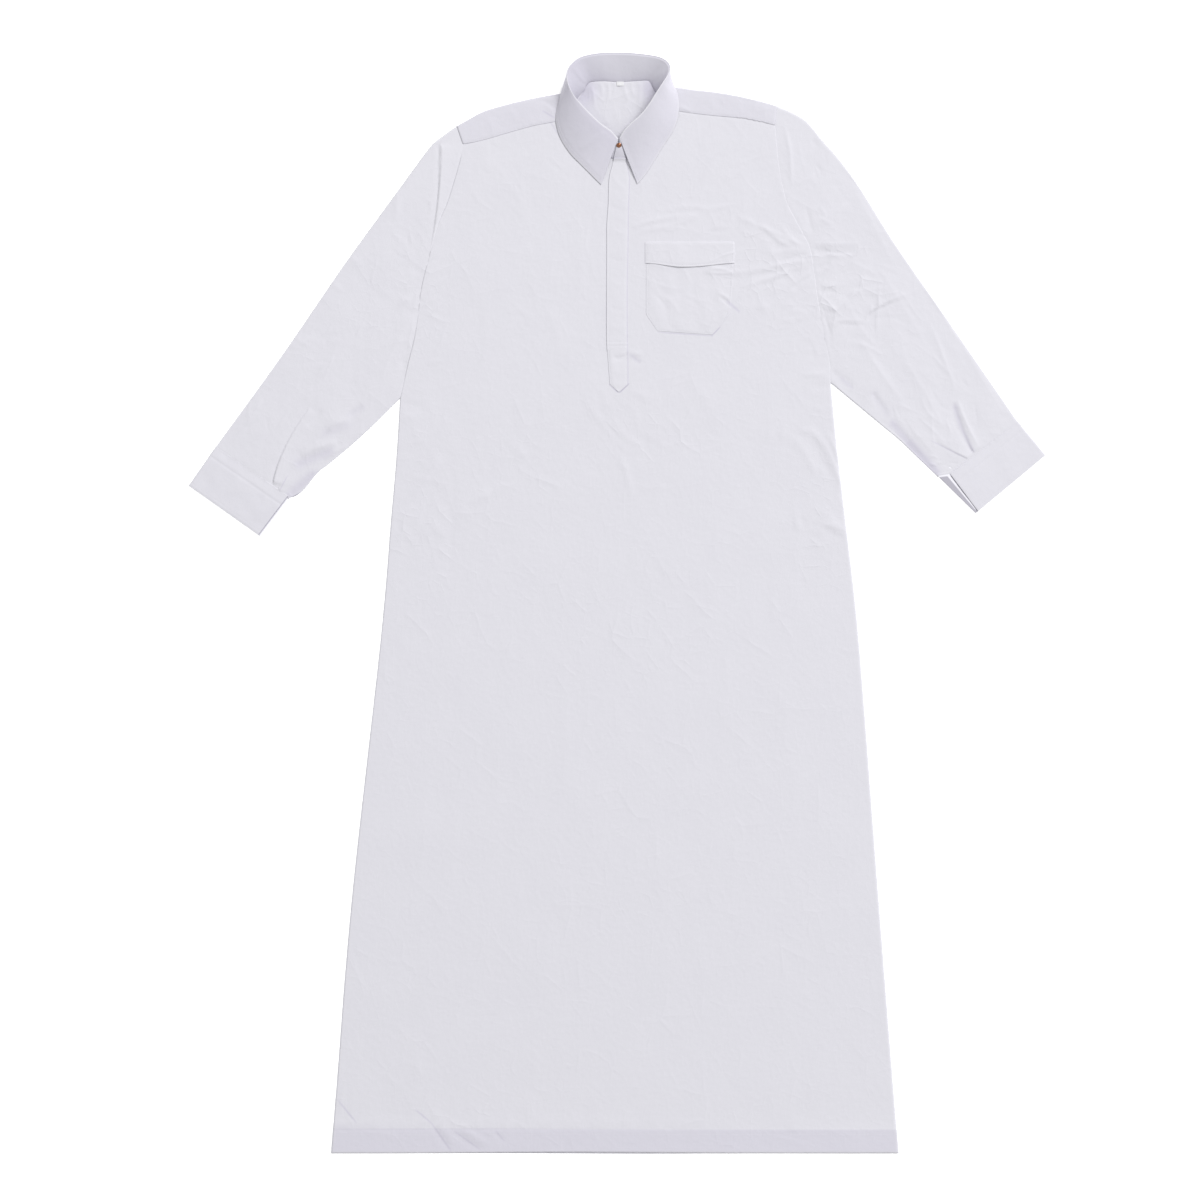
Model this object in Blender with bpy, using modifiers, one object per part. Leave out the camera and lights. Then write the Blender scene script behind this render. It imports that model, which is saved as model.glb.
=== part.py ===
"""Thobe robe, a long white shirt-robe laid flat with its front up and its sleeves slanting down.

The garment lies on the XY plane with the neck towards +Y and the hem towards -Y. The origin is at the
bottom centre of its bounding box. Tables are in millimetres and follow a maker's order: a row for each
station along an edge, or for each fold. Every piece is one wall of cloth, and its layers lie on each other.
"""
import bpy
import bmesh
import math
from mathutils import Vector

MM = 0.001
CLOTH = 1.0                                # wall of one layer of shirting
BAND = 1.4                                 # wall of a doubled, stiffened piece
GAP = 0.3                                  # clearance between neighbouring pieces
FOLD_INSET = 0.9                           # from a fold's edge to where its layers lie flat
HEM_DEPTH = 34.0                           # turned-up hem
HEM_SLOPE = 36.0                           # length in which the front comes down off the hem's layers
HEM_EDGE = -741.8                          # y of the bottom edge
BACK_Z = CLOTH / 2                         # mid-surface of the back layers
FRONT_Z = BACK_Z + CLOTH + GAP             # mid-surface of the front layers
FRONT_TOP = FRONT_Z + CLOTH / 2
CLOTH_COLOUR = (0.76, 0.75, 0.80, 1.0)
BAND_COLOUR = (0.78, 0.77, 0.82, 1.0)
COPPER_COLOUR = (0.60, 0.33, 0.20, 1.0)
BACK_SEAM_ROW = 8                          # armhole station where the yoke's back seam meets it
FRONT_SEAM_ROW = 10                        # armhole station where the yoke's front seam meets it

# Side seams: y, x at the left, x at the right, from the hem to the underarm.
SIDES = (
    (HEM_EDGE, -386, 380),
    (-657, -379, 373),
    (-400, -358, 353),
    (-49, -319, 326),
    (113, -305, 308),
    (207, -297, 297),
)

# Armholes, from the underarm to the shoulder fold: x and y at the left, x and y at the right.
ARMHOLES = (
    (-293, 277, 288, 298),
    (-282, 326, 287, 328),
    (-274, 358, 281, 360),
    (-269, 392, 272, 406),
    (-265, 423, 267, 442),
    (-256, 461, 260, 481),
    (-242, 511, 243, 514),
    (-230, 539, 229, 543),
    (-220, 570, 221, 578),
    (-212, 599, 217, 605),
    (-209, 621, 213, 647),
    (-217, 644, 216, 671),
)

# Yoke sections across each shoulder, from the armhole to the neck: fold x and y, front seam x and y.
YOKE_LEFT = (
    (-217, 644, -209, 621),
    (-199, 654, -195, 624),
    (-180, 664, -178, 628),
    (-146, 674, -147, 637),
    (-111, 682, -114, 646),
    (-76, 688, -83, 652),
    (-46, 691, -64, 657),
)
YOKE_RIGHT = (
    (216, 671, 213, 647),
    (196, 677, 196, 651),
    (161, 685, 163, 657),
    (131, 690, 131, 660),
    (104, 693, 104, 663),
    (82, 696, 83, 666),
    (50, 697, 66, 668),
)

# Neckline of the yoke between the shoulder folds, and of the front between the yoke's seams: x, y.
BACK_NECK = ((-41, 700), (-35, 704), (-19, 705), (1, 704), (23, 705), (40, 706), (45, 703))
FRONT_NECK = (
    (-62, 647), (-50, 630), (-34, 615), (-15, 604), (2, 599),
    (20, 605), (40, 616), (58, 634), (67, 651),
)

# Sleeve edges from the armhole to the cuff: x, y.
OUTER_LEFT = ((-217, 644), (-253, 615), (-295, 558), (-369, 456), (-452, 335), (-541, 212))
UNDER_LEFT = ((-293, 277), (-344, 227), (-386, 191), (-421, 155), (-442, 144))
OUTER_RIGHT = ((216, 671), (256, 650), (299, 600), (375, 485), (440, 391), (540, 246))
UNDER_RIGHT = ((288, 298), (353, 244), (395, 207), (431, 173))
SLEEVE_STATIONS = (0, 0.03, 0.06, 0.1, 0.16, 0.23, 0.31, 0.4, 0.5, 0.6, 0.7, 0.79, 0.87, 0.94, 1)

# Cuff corners, x and y: outer and inner end of the seam, outer and inner end of the free edge.
CUFF_LEFT = ((-541, 212), (-442, 144), (-578, 159), (-482, 91))
CUFF_RIGHT_LOWER = ((540, 246), (432, 173), (578, 200), (484, 122))
CUFF_RIGHT_UPPER = ((540, 246), (449, 175), (578, 200), (488, 125))
CUFF_GAPE = 2.2                            # how far the open cuff's upper layer is lifted at its inner edge
CUFF_FOLD = 0.6                            # from a cuff's end to the middle of its fold
CUFF_INSET = 1.1                           # from a cuff's end to where its layers lie flat

# Collar sections from the left front round the back to the right front: neck seam x, y, z;
# crest of the fold x, y, z; edge of the leaf x, y, z; and how far the leaf hangs straight (0 to 1).
COLLAR = (
    (0, 599, 3.6, 1, 626, 12, -22, 565, 3.6, 0.0),
    (-15, 604, 3.6, -8, 636, 12.5, -33, 576, 3.6, 0.0),
    (-34, 615, 3.6, -20, 644, 14, -49, 592, 3.6, 0.0),
    (-50, 630, 3.6, -35, 657, 17, -65, 609, 3.6, 0.0),
    (-62, 647, 3.6, -49, 671, 20, -78, 631, 3.6, 0.1),
    (-64, 664, 3.6, -59, 683, 22, -83, 654, 3.6, 0.2),
    (-56, 678, 3.6, -66, 697, 24, -80, 673, 3.6, 0.3),
    (-45, 692, 3.6, -68, 711, 22, -75, 692, 3.6, 0.6),
    (-41, 700, 2.2, -64, 722, 20, -68, 700, 1.0, 0.9),
    (-35, 704, 2.2, -50, 734, 17, -50, 708, 0.9, 1.0),
    (-19, 705, 2.2, -25, 740, 15, -23, 710, 0.9, 1.0),
    (1, 704, 2.2, 4, 741, 14, 2, 710, 0.9, 1.0),
    (23, 705, 2.2, 32, 739, 15, 27, 711, 0.9, 1.0),
    (40, 706, 2.2, 58, 734, 17, 55, 710, 0.9, 1.0),
    (45, 703, 2.2, 70, 724, 20, 71, 703, 1.0, 0.9),
    (49, 696, 3.6, 69, 712, 22, 79, 694, 3.6, 0.6),
    (56, 684, 3.6, 61, 699, 24, 83, 678, 3.6, 0.3),
    (65, 669, 3.6, 51, 684, 22, 82, 657, 3.6, 0.2),
    (67, 651, 3.6, 42, 670, 20, 75, 637, 3.6, 0.1),
    (58, 634, 3.6, 31, 657, 17, 63, 618, 3.6, 0.0),
    (40, 616, 3.6, 19, 647, 14, 50, 597, 3.6, 0.0),
    (20, 605, 3.6, 9, 637, 12.5, 36, 576, 3.6, 0.0),
    (4, 599, 3.6, 3, 627, 12, 27, 566, 3.6, 0.0),
)

# Placket edges from its top to its point: y, x at the left, x at the right.
PLACKET = (
    (598, -4, 12),
    (586, -8, 15),
    (572, -11, 17),
    (477, -14, 15),
    (364, -14, 14),
    (296, -10, 15),
    (290, -4.5, 9),
    (285, 1.2, 2.8),
)
SLIT = {"x": 2.0, "bottom": 350.0, "top": 620.0, "width": 1.2}

# Chest pocket and its flap: y, x at the left, x at the right.
POCKET = (
    (480, 39, 156),
    (450, 39, 156),
    (425, 39, 155),
    (405, 39.5, 152),
    (389, 40, 150),
    (375, 49, 141),
    (366, 55, 129),
)
FLAP = {"left": 37.0, "right": 159.0, "top": 488.0, "side": 459.0, "middle": 453.0, "lift": 2.5}

# Press stud at the neck, on the end of the stand that shows below it.
STUD = {"x": 2.3, "y": 617.0, "radius": 3.3, "height": 1.6}
UNDERLAP = {"low": (601.4, -5.6, 11.3, 6.3), "high": (620.0, 0.3, 4.1, 11.6)}    # y, x, x, z
LABEL = {"left": 0.0, "right": 10.0, "top": 702.0, "bottom": 696.0}

# Largest folds of the upper layer: x and y of both ends, half width, height.
FOLDS = (
    (-238, 612, -255, 470, 14, 3.0),       # tuck in the head of the left sleeve
    (-257, 458, -268, 398, 12, 1.2),       # its lower end, dying out along the armhole
    (228, 640, 236, 565, 12, 1.5),         # head of the right sleeve
    (263, 488, 328, 470, 12, 2.2),         # cross folds under the right armhole
    (280, 428, 318, 420, 12, 1.6),
    (302, 386, 396, 416, 13, 1.8),
    (300, 306, 330, 292, 14, 2.0),
    (344, 291, 428, 182, 11, 2.2),         # roll along the right sleeve's underside
    (-392, 257, -432, 160, 11, 2.0),       # roll along the left sleeve's underside
    (-407, 269, -466, 162, 9, 1.8),        # pleats at the left cuff
    (-440, 196, -452, 156, 8, 1.4),
    (454, 271, 482, 206, 9, 1.8),          # pleats at the right cuff
    (426, 222, 468, 196, 9, 1.6),
    (262, 560, 330, 520, 14, 1.0),         # long soft rolls on the sleeves
    (420, 378, 452, 290, 14, 1.2),
    (-386, 434, -372, 400, 12, 1.2),
    (180, 512, 236, 486, 24, 1.6),         # front beside the right armhole
    (182, 449, 250, 458, 20, 1.6),
    (250, 236, 300, 165, 26, 2.4),
    (-238, 200, -282, 140, 26, 1.8),       # front below the left underarm
    (-44, 262, 14, 158, 28, 1.6),          # front below the placket
)

CLEAR = (-95, 168, 281, 720)               # collar, placket and pocket lie on a flat front: x, x, y, y
CLEAR_EDGE = 14.0                          # folds die out in this distance from there


def smooth(t):
    """Ease from 0 to 1."""
    t = min(1.0, max(0.0, t))
    return t * t * (3 - 2 * t)


def mix(a, b, t):
    """Point between two points."""
    return tuple(p + (q - p) * t for p, q in zip(a, b))


def along(points, t):
    """Point at a share t of the length of a smooth curve through the points."""
    places = [Vector(p) for p in points]
    lengths = [0.0]
    for a, b in zip(places, places[1:]):
        lengths.append(lengths[-1] + (b - a).length)
    goal = t * lengths[-1]
    last = len(places) - 2
    i = next((k for k in range(last) if lengths[k + 1] >= goal), last)
    s = (goal - lengths[i]) / (lengths[i + 1] - lengths[i])
    before = places[i - 1] if i > 0 else 2 * places[i] - places[i + 1]
    after = places[i + 2] if i < last else 2 * places[i + 1] - places[i]
    a, b = places[i], places[i + 1]
    curve = 2 * a + (b - before) * s + (2 * before - 5 * a + 4 * b - after) * s ** 2
    return tuple((curve + (3 * a - before - 3 * b + after) * s ** 3) / 2)


def shares(points):
    """Share of the polyline's length at each of its points."""
    lengths = [0.0]
    for a, b in zip(points, points[1:]):
        lengths.append(lengths[-1] + math.dist(a, b))
    return [length / lengths[-1] for length in lengths]


def relief(x, y):
    """Height of the largest folds of the upper layer at a place."""
    height = 0.0
    for x0, y0, x1, y1, half_width, rise in FOLDS:
        a, b, p = Vector((x0, y0)), Vector((x1, y1)), Vector((x, y))
        t = min(1.0, max(0.0, (p - a).dot(b - a) / (b - a).length_squared))
        off = (p - a.lerp(b, t)).length / half_width
        if off < 1:
            height = max(height, rise * (1 - smooth(off)))
    inside = max(CLEAR[0] - x, x - CLEAR[1], CLEAR[2] - y, y - CLEAR[3])
    return height * smooth(inside / CLEAR_EDGE)


def front_height(x, y):
    """Mid-surface of the front panel: flat, with its folds, and raised where it lies on the hems."""
    hem_layers = 2 * (CLOTH + GAP)
    off_hem = smooth((y - HEM_EDGE - HEM_DEPTH - 4) / HEM_SLOPE)
    return FRONT_Z + hem_layers * (1 - off_hem) + relief(x, y)


def material(name, colour, roughness, metallic=0.0):
    """Principled material of one sub-part."""
    made = bpy.data.materials.new(name)
    made.use_nodes = True
    shader = made.node_tree.nodes["Principled BSDF"]
    shader.inputs["Base Color"].default_value = colour
    shader.inputs["Roughness"].default_value = roughness
    shader.inputs["Metallic"].default_value = metallic
    return made


def sheet(name, columns, rows, place, wall, colour=CLOTH_COLOUR, even=True):
    """One wall of cloth: a grid whose points come from place(column, row), made thick about its middle."""
    mesh = bpy.data.meshes.new(name)
    cloth = bmesh.new()
    bmesh.ops.create_grid(cloth, x_segments=columns, y_segments=rows, size=1.0)
    for vertex in cloth.verts:
        column = round((vertex.co.x + 1) / 2 * columns)
        row = round((vertex.co.y + 1) / 2 * rows)
        vertex.co = Vector(place(column, row)) * MM
    bmesh.ops.remove_doubles(cloth, verts=cloth.verts, dist=0.00001)
    bmesh.ops.recalc_face_normals(cloth, faces=cloth.faces)
    cloth.to_mesh(mesh)
    cloth.free()
    piece = bpy.data.objects.new(name, mesh)
    garment.objects.link(piece)
    mesh.materials.append(material(name + "_cloth", colour, 0.85))
    solidify = piece.modifiers.new("wall", "SOLIDIFY")
    solidify.thickness = wall * MM
    solidify.offset = 0.0
    solidify.use_even_offset = even
    return piece


def armhole(row, side):
    """Armhole point, side 0 at the left and 1 at the right."""
    return ARMHOLES[row][2 * side:2 * side + 2]


def side_edges(y):
    """Left and right edge of the body at a height below the underarm."""
    stations = SIDES + ((ARMHOLES[0][1], ARMHOLES[0][0], ARMHOLES[0][2]),)
    for low, high in zip(stations, stations[1:]):
        if y <= high[0]:
            break
    t = (y - low[0]) / (high[0] - low[0])
    return mix(low[1:], high[1:], t)


def body_row(y, share):
    """Point of a straight row of the body below the underarm."""
    left, right = side_edges(y)
    return left + (right - left) * share, y


def yoke_part(row, side):
    """Fold and front seam of one yoke section."""
    section = (YOKE_LEFT, YOKE_RIGHT)[side][row]
    return section[:2], section[2:]


def build_front():
    """Front panel with its turned-up hem, up to the yoke's seams and the neckline."""
    top = [section[2:] for section in YOKE_LEFT]
    top += FRONT_NECK
    top += [section[2:] for section in reversed(YOKE_RIGHT)]
    top = [(x, y - GAP) for x, y in top]
    share = shares(top)
    hem = (
        (HEM_EDGE + HEM_DEPTH, -1),
        (HEM_EDGE + FOLD_INSET, -1),
        (HEM_EDGE + 0.5, -0.5),
        (HEM_EDGE + FOLD_INSET, 0),
    )
    heights = [HEM_EDGE + HEM_DEPTH + step for step in (0, 4, 16, 28, 40)]
    heights += [-620 + 68 * step for step in range(12)] + [170, 205, 240]
    below = len(hem) + len(heights)

    def place(column, row):
        if row < len(hem):
            y, layer = hem[row]
            x, y = body_row(y, share[column])
            return x, y, front_height(x, HEM_EDGE) + layer * (CLOTH + GAP)
        if row < below:
            x, y = body_row(heights[row - len(hem)], share[column])
            return x, y, front_height(x, y)
        station = row - below
        lift = (station / FRONT_SEAM_ROW) ** 2
        x, y = mix(armhole(station, 0), armhole(station, 1), share[column])
        chord = mix(top[0], top[-1], share[column])
        x += (top[column][0] - chord[0]) * lift
        y += (top[column][1] - chord[1]) * lift
        if station == FRONT_SEAM_ROW:
            x, y = top[column]
        return x, y, front_height(x, y)

    front = sheet("front_panel", len(top) - 1, below + FRONT_SEAM_ROW, place, CLOTH)
    cut_slit(front)


def cut_slit(front):
    """Slit in the front panel under the placket."""
    length = SLIT["top"] - SLIT["bottom"]
    middle = (SLIT["top"] + SLIT["bottom"]) / 2
    bpy.ops.mesh.primitive_cube_add(size=1.0, location=(SLIT["x"] * MM, middle * MM, FRONT_Z * MM))
    cutter = bpy.context.object
    cutter.name = "slit_cutter"
    cutter.scale = (SLIT["width"] * MM, length * MM, 4 * CLOTH * MM)
    cutter.hide_render = True
    cutter.display_type = "WIRE"
    for collection in cutter.users_collection:
        collection.objects.unlink(cutter)
    cutters.objects.link(cutter)
    cut = front.modifiers.new("slit", "BOOLEAN")
    cut.operation = "DIFFERENCE"
    cut.solver = "EXACT"
    cut.object = cutter


def build_back():
    """Back panel with its turned-up hem, up to the yoke's back seam."""
    hem = (
        (HEM_EDGE + HEM_DEPTH, 1),
        (HEM_EDGE + FOLD_INSET, 1),
        (HEM_EDGE + 0.5, 0.5),
        (HEM_EDGE + FOLD_INSET, 0),
    )
    heights = [station[0] for station in SIDES[1:]]
    columns = 4
    below = len(hem) + len(heights)

    def place(column, row):
        share = column / columns
        if row < len(hem):
            y, layer = hem[row]
            return (*body_row(y, share), BACK_Z + layer * (CLOTH + GAP))
        if row < below:
            return (*body_row(heights[row - len(hem)], share), BACK_Z)
        station = row - below
        x, y = mix(armhole(station, 0), armhole(station, 1), share)
        seam_gap = GAP if station == BACK_SEAM_ROW else 0
        return x, y - seam_gap, BACK_Z

    sheet("back_panel", columns, below + BACK_SEAM_ROW, place, CLOTH)


def build_yoke():
    """Back yoke, folded over both shoulders to its front seams."""
    edge = [section[:2] for section in YOKE_LEFT] + list(BACK_NECK)
    edge += [section[:2] for section in reversed(YOKE_RIGHT)]
    share = shares(edge)
    across = len(YOKE_LEFT)
    stations = len(ARMHOLES) - 1 - BACK_SEAM_ROW

    def fold_point(column, inset):
        """Point of a shoulder's fold, or of its flap, at a distance from the fold's edge."""
        side = 0 if column < across else 1
        section = column if side == 0 else len(edge) - 1 - column
        fold, seam = yoke_part(section, side)
        return mix(fold, seam, inset / math.dist(fold, seam))

    def back_layer(column, row):
        lift = row / stations
        station = BACK_SEAM_ROW + row
        x, y = mix(armhole(station, 0), armhole(station, 1), share[column])
        chord = mix(edge[0], edge[-1], share[column])
        x += (edge[column][0] - chord[0]) * lift
        y += (edge[column][1] - chord[1]) * lift
        if row == stations:
            shoulder = column < across or column >= len(edge) - across
            x, y = fold_point(column, FOLD_INSET) if shoulder else edge[column]
        return x, y, BACK_Z

    def flap(side):
        def place(column, row):
            at = column if side == 0 else len(edge) - across + column
            section = column if side == 0 else across - 1 - column
            if row == 0:
                return (*fold_point(at, FOLD_INSET), BACK_Z)
            if row == 1:
                return (*fold_point(at, 0.5), (BACK_Z + FRONT_Z) / 2)
            if row == 2:
                return (*fold_point(at, FOLD_INSET), FRONT_Z)
            fold, seam = yoke_part(section, side)
            x, y = mix(fold, seam, (row - 1) / 2)
            return x, y, FRONT_Z
        return place

    yoke = sheet("back_yoke", len(edge) - 1, stations, back_layer, CLOTH)
    flaps = [sheet("flap", across - 1, 3, flap(side), CLOTH) for side in (0, 1)]
    whole = bmesh.new()
    whole.from_mesh(yoke.data)
    for piece in flaps:
        whole.from_mesh(piece.data)
        bpy.data.objects.remove(piece)
    bmesh.ops.remove_doubles(whole, verts=whole.verts, dist=0.00001)
    bmesh.ops.recalc_face_normals(whole, faces=whole.faces)
    whole.to_mesh(yoke.data)
    whole.free()


def build_sleeve(name, side, outer, under):
    """Sleeve: a flat tube from the armhole to the cuff, closed at its fold and at its underarm seam."""
    head = [armhole(row, side) for row in reversed(range(len(ARMHOLES)))]
    share = shares(head)
    last = len(head) - 1
    outward = (-1, 1)[side]

    def flat_point(k, t):
        """Point of either layer: k runs across from the fold to the underarm, t along the sleeve."""
        chord = mix(head[0], head[-1], share[k])
        x, y = mix(along(outer, t), along(under, t), share[k])
        keep = (1 - t) ** 1.5
        x += (head[k][0] - chord[0] + outward * 2 * GAP) * keep
        y += (head[k][1] - chord[1]) * keep
        return x, y

    def place(column, row):
        t = SLEEVE_STATIONS[row]
        middle = (BACK_Z + FRONT_Z) / 2
        width = math.dist(flat_point(0, t), flat_point(last, t))
        if column in (0, 2 * last + 4):
            return (*mix(flat_point(0, t), flat_point(last, t), 0.5 / width), middle)
        if column == last + 2:
            return (*mix(flat_point(last, t), flat_point(0, t), 0.5 / width), middle)
        upper = column < last + 2
        k = column - 1 if upper else 2 * last + 3 - column
        x, y = flat_point(k, t)
        if k == 0:
            x, y = mix((x, y), flat_point(last, t), FOLD_INSET / width)
        if k == last:
            x, y = mix((x, y), flat_point(0, t), FOLD_INSET / width)
        if not upper:
            return x, y, BACK_Z
        rises = 0 < k < last
        calm = smooth(t / 0.02) * smooth((1 - t) / 0.02)
        return x, y, FRONT_Z + (relief(x, y) * calm if rises else 0.0)

    sheet(name, 2 * last + 4, len(SLEEVE_STATIONS) - 1, place, CLOTH)


def build_cuff(name, upper, lower, gape):
    """Cuff: a doubled band folded at its outer end. With no gape its inner end is closed too."""
    across = 5
    rows = 3
    low_z = BAND / 2
    high_z = low_z + BAND + GAP
    middle = (low_z + high_z) / 2
    ends = 1 if gape else 2                # folded ends of the section

    def corner_point(corners, s, t):
        """Point of a layer: s runs across from the outer end, t from the seam to the free edge."""
        seam = mix(corners[0], corners[1], s)
        edge = mix(corners[2], corners[3], s)
        start = 2 * GAP / math.dist(seam, edge)
        return mix(seam, edge, start + (1 - start) * t)

    def place(column, row):
        """Section: upper layer from the inner end, outer fold, lower layer back."""
        t = row / rows
        width = math.dist(corner_point(lower, 0, t), corner_point(lower, 1, t))
        inset = CUFF_INSET / width
        k = column - (ends - 1)
        if k == across + 1:
            return (*corner_point(lower, CUFF_FOLD / width, t), middle)
        if k in (-1, 2 * across + 3):
            return (*corner_point(lower, 1 - CUFF_FOLD / width, t), middle)
        on_top = k <= across
        s = max(inset, 1 - k / across if on_top else (k - across - 2) / across)
        if not gape:
            s = min(1 - inset, s)
        lift = gape * smooth((s - 0.3) / 0.7)
        if on_top:
            return (*corner_point(upper, s, t), high_z + lift)
        return (*corner_point(lower, s, t), low_z)

    sheet(name, 2 * across + 2 * ends, rows, place, BAND, BAND_COLOUR)


def build_collar():
    """Stand up from the neck seam, and the leaf that folds over its top."""
    def roll(section):
        """Point that the leaf's curve heads for as it leaves the crest."""
        crest, edge, hang = section[3:6], section[6:9], section[9]
        rolled = mix(crest, (edge[0], edge[1], crest[2]), 0.4)
        dropped = (crest[0], crest[1], edge[2])
        return mix(rolled, dropped, hang)

    def stand(column, row):
        section = COLLAR[column]
        neck, crest = Vector(section[:3]), Vector(section[3:6])
        between = (neck - crest).angle(Vector(roll(section)) - crest)
        short = (2 * BAND + GAP) / math.sin(between)
        return mix(neck, crest, row / 2 * (1 - short / (neck - crest).length))

    def leaf(column, row):
        section = COLLAR[column]
        crest, edge, control = section[3:6], section[6:9], roll(section)
        t = row / 5
        return mix(mix(crest, control, t), mix(control, edge, t), t)

    sheet("collar_stand", len(COLLAR) - 1, 2, stand, BAND, BAND_COLOUR, even=False)
    sheet("collar_leaf", len(COLLAR) - 1, 5, leaf, BAND, BAND_COLOUR, even=False)


def strip(name, stations, columns, height, wall, colour):
    """Flat piece on the front between a left and a right edge, a row for each station."""
    def place(column, row):
        y, left, right = stations[row]
        return left + (right - left) * column / columns, y, height
    sheet(name, columns, len(stations) - 1, place, wall, colour)


def build_flap():
    """Pocket flap, which stands off the pocket along its lower edge."""
    columns, rows = 8, 3
    height = FRONT_TOP + GAP + CLOTH + GAP + CLOTH / 2

    def place(column, row):
        s, t = column / columns, row / rows
        low = FLAP["side"] + (FLAP["middle"] - FLAP["side"]) * math.sin(math.pi * s)
        x = FLAP["left"] + (FLAP["right"] - FLAP["left"]) * s
        y = FLAP["top"] + (low - FLAP["top"]) * t
        return x, y, height + FLAP["lift"] * math.sin(math.pi * s) * t ** 2

    sheet("pocket_flap", columns, rows, place, CLOTH, CLOTH_COLOUR)


def build_neck_closure():
    """End of the stand that shows at the neck, with the cap of the press stud on it."""
    low, high = UNDERLAP["low"], UNDERLAP["high"]

    def place(column, row):
        y, left, right, z = mix(low, high, row)
        return left + (right - left) * column, y, z

    sheet("underlap", 1, 1, place, CLOTH, BAND_COLOUR)
    slope = math.atan2(high[3] - low[3], high[0] - low[0])
    t = (STUD["y"] - low[0]) / (high[0] - low[0])
    base = low[3] + (high[3] - low[3]) * t + (CLOTH / 2 + GAP) / math.cos(slope)
    centre = (STUD["x"] * MM, STUD["y"] * MM, base * MM + STUD["height"] / 2 * MM)
    bpy.ops.mesh.primitive_cylinder_add(
        vertices=24,
        radius=STUD["radius"] * MM,
        depth=STUD["height"] * MM,
        location=centre,
        rotation=(slope, 0, 0),
    )
    stud = bpy.context.object
    stud.name = "press_stud"
    for collection in stud.users_collection:
        collection.objects.unlink(stud)
    garment.objects.link(stud)
    stud.data.materials.append(material("stud_copper", COPPER_COLOUR, 0.35, 1.0))
    bevel = stud.modifiers.new("dome", "BEVEL")
    bevel.width = 0.5 * MM
    bevel.segments = 2
    bevel.limit_method = "ANGLE"
    stud.data.shade_smooth()


def build_label():
    """Small blank tab on the back neck seam."""
    stations = [(LABEL[end], LABEL["left"], LABEL["right"]) for end in ("top", "bottom")]
    strip("neck_label", stations, 1, CLOTH + GAP + CLOTH / 2, CLOTH, BAND_COLOUR)


for old in list(bpy.data.objects):
    bpy.data.objects.remove(old)

garment = bpy.data.collections.new("thobe_robe")
cutters = bpy.data.collections.new("cutters")
bpy.context.scene.collection.children.link(garment)
bpy.context.scene.collection.children.link(cutters)

build_back()
build_yoke()
build_front()
build_sleeve("sleeve_left", 0, OUTER_LEFT, UNDER_LEFT)
build_sleeve("sleeve_right", 1, OUTER_RIGHT, UNDER_RIGHT)
build_cuff("cuff_left", CUFF_LEFT, CUFF_LEFT, 0)
build_cuff("cuff_right", CUFF_RIGHT_UPPER, CUFF_RIGHT_LOWER, CUFF_GAPE)
build_collar()
strip("placket", PLACKET, 3, FRONT_TOP + GAP + BAND / 2, BAND, BAND_COLOUR)
strip("pocket", POCKET, 4, FRONT_TOP + GAP + CLOTH / 2, CLOTH, CLOTH_COLOUR)
build_flap()
build_neck_closure()
build_label()
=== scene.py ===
import math

import bmesh
import bpy
import numpy as np
from mathutils import Matrix, Vector


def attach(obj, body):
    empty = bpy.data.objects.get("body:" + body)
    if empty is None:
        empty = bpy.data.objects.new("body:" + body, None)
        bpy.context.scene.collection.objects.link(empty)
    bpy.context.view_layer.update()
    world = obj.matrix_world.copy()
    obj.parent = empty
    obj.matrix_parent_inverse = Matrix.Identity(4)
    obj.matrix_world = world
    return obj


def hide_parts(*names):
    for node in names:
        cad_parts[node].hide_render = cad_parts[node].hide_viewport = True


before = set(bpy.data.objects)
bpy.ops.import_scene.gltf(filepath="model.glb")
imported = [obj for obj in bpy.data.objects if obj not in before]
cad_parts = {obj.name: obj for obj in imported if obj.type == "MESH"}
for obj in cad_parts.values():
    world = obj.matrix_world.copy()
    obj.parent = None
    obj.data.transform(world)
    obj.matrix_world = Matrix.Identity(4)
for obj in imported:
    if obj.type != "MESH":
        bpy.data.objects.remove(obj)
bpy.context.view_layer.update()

# Thobe robe laid flat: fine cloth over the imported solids. Lengths in the tables are millimetres.
mm = 0.001
scene = bpy.context.scene

cloth = {
    "thickness": 0.45,
    "bandThickness": 0.8,          # doubled cloth over interlining
    "backHeight": 0.25,            # middle of the back layer
    "frontHeight": 1.2,            # middle of the front layer where nothing lifts it
    "lowest": 0.74,                # the front rests on the back there
    "hemDepth": 34.0,
    "hemEdge": -741.4,
    "hemRise": 0.75,               # how far the turned-up layers lift the front
    "ripple": 0.13,                # slight unevenness everywhere
}


# shapes of lines and fields

def ease(t):
    t = np.clip(t, 0, 1)
    return t * t * (3 - 2 * t)


def bump(d, width):
    return np.exp(-(d / width) ** 2)


def smoothBetween(a, b, c, d, s):
    # from b to c as s goes 0 to 1, with a and d as the neighbours that set the bend
    return 0.5 * (2 * b + (c - a) * s + (2 * a - 5 * b + 4 * c - d) * s ** 2 + (3 * b - a - 3 * c + d) * s ** 3)


def alongCurve(points, t):
    # smooth curve through the points, read at shares t of its length
    p = np.array(points, float)
    at = np.r_[0, np.cumsum(np.linalg.norm(np.diff(p, axis=0), axis=1))]
    at /= at[-1]
    i = np.clip(np.searchsorted(at, t, side="right") - 1, 0, len(p) - 2)
    s = ((t - at[i]) / (at[i + 1] - at[i]))[:, None]
    ends = np.vstack([2 * p[0] - p[1], p, 2 * p[-1] - p[-2]])
    return smoothBetween(ends[i], ends[i + 1], ends[i + 2], ends[i + 3], s)


def spans(*parts):
    # ticks from (start, end, count) stretches that follow each other
    ticks = [np.array([parts[0][0]], float)]
    for start, end, count in parts:
        ticks.append(np.linspace(start, end, count + 1)[1:])
    return np.concatenate(ticks)


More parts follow.
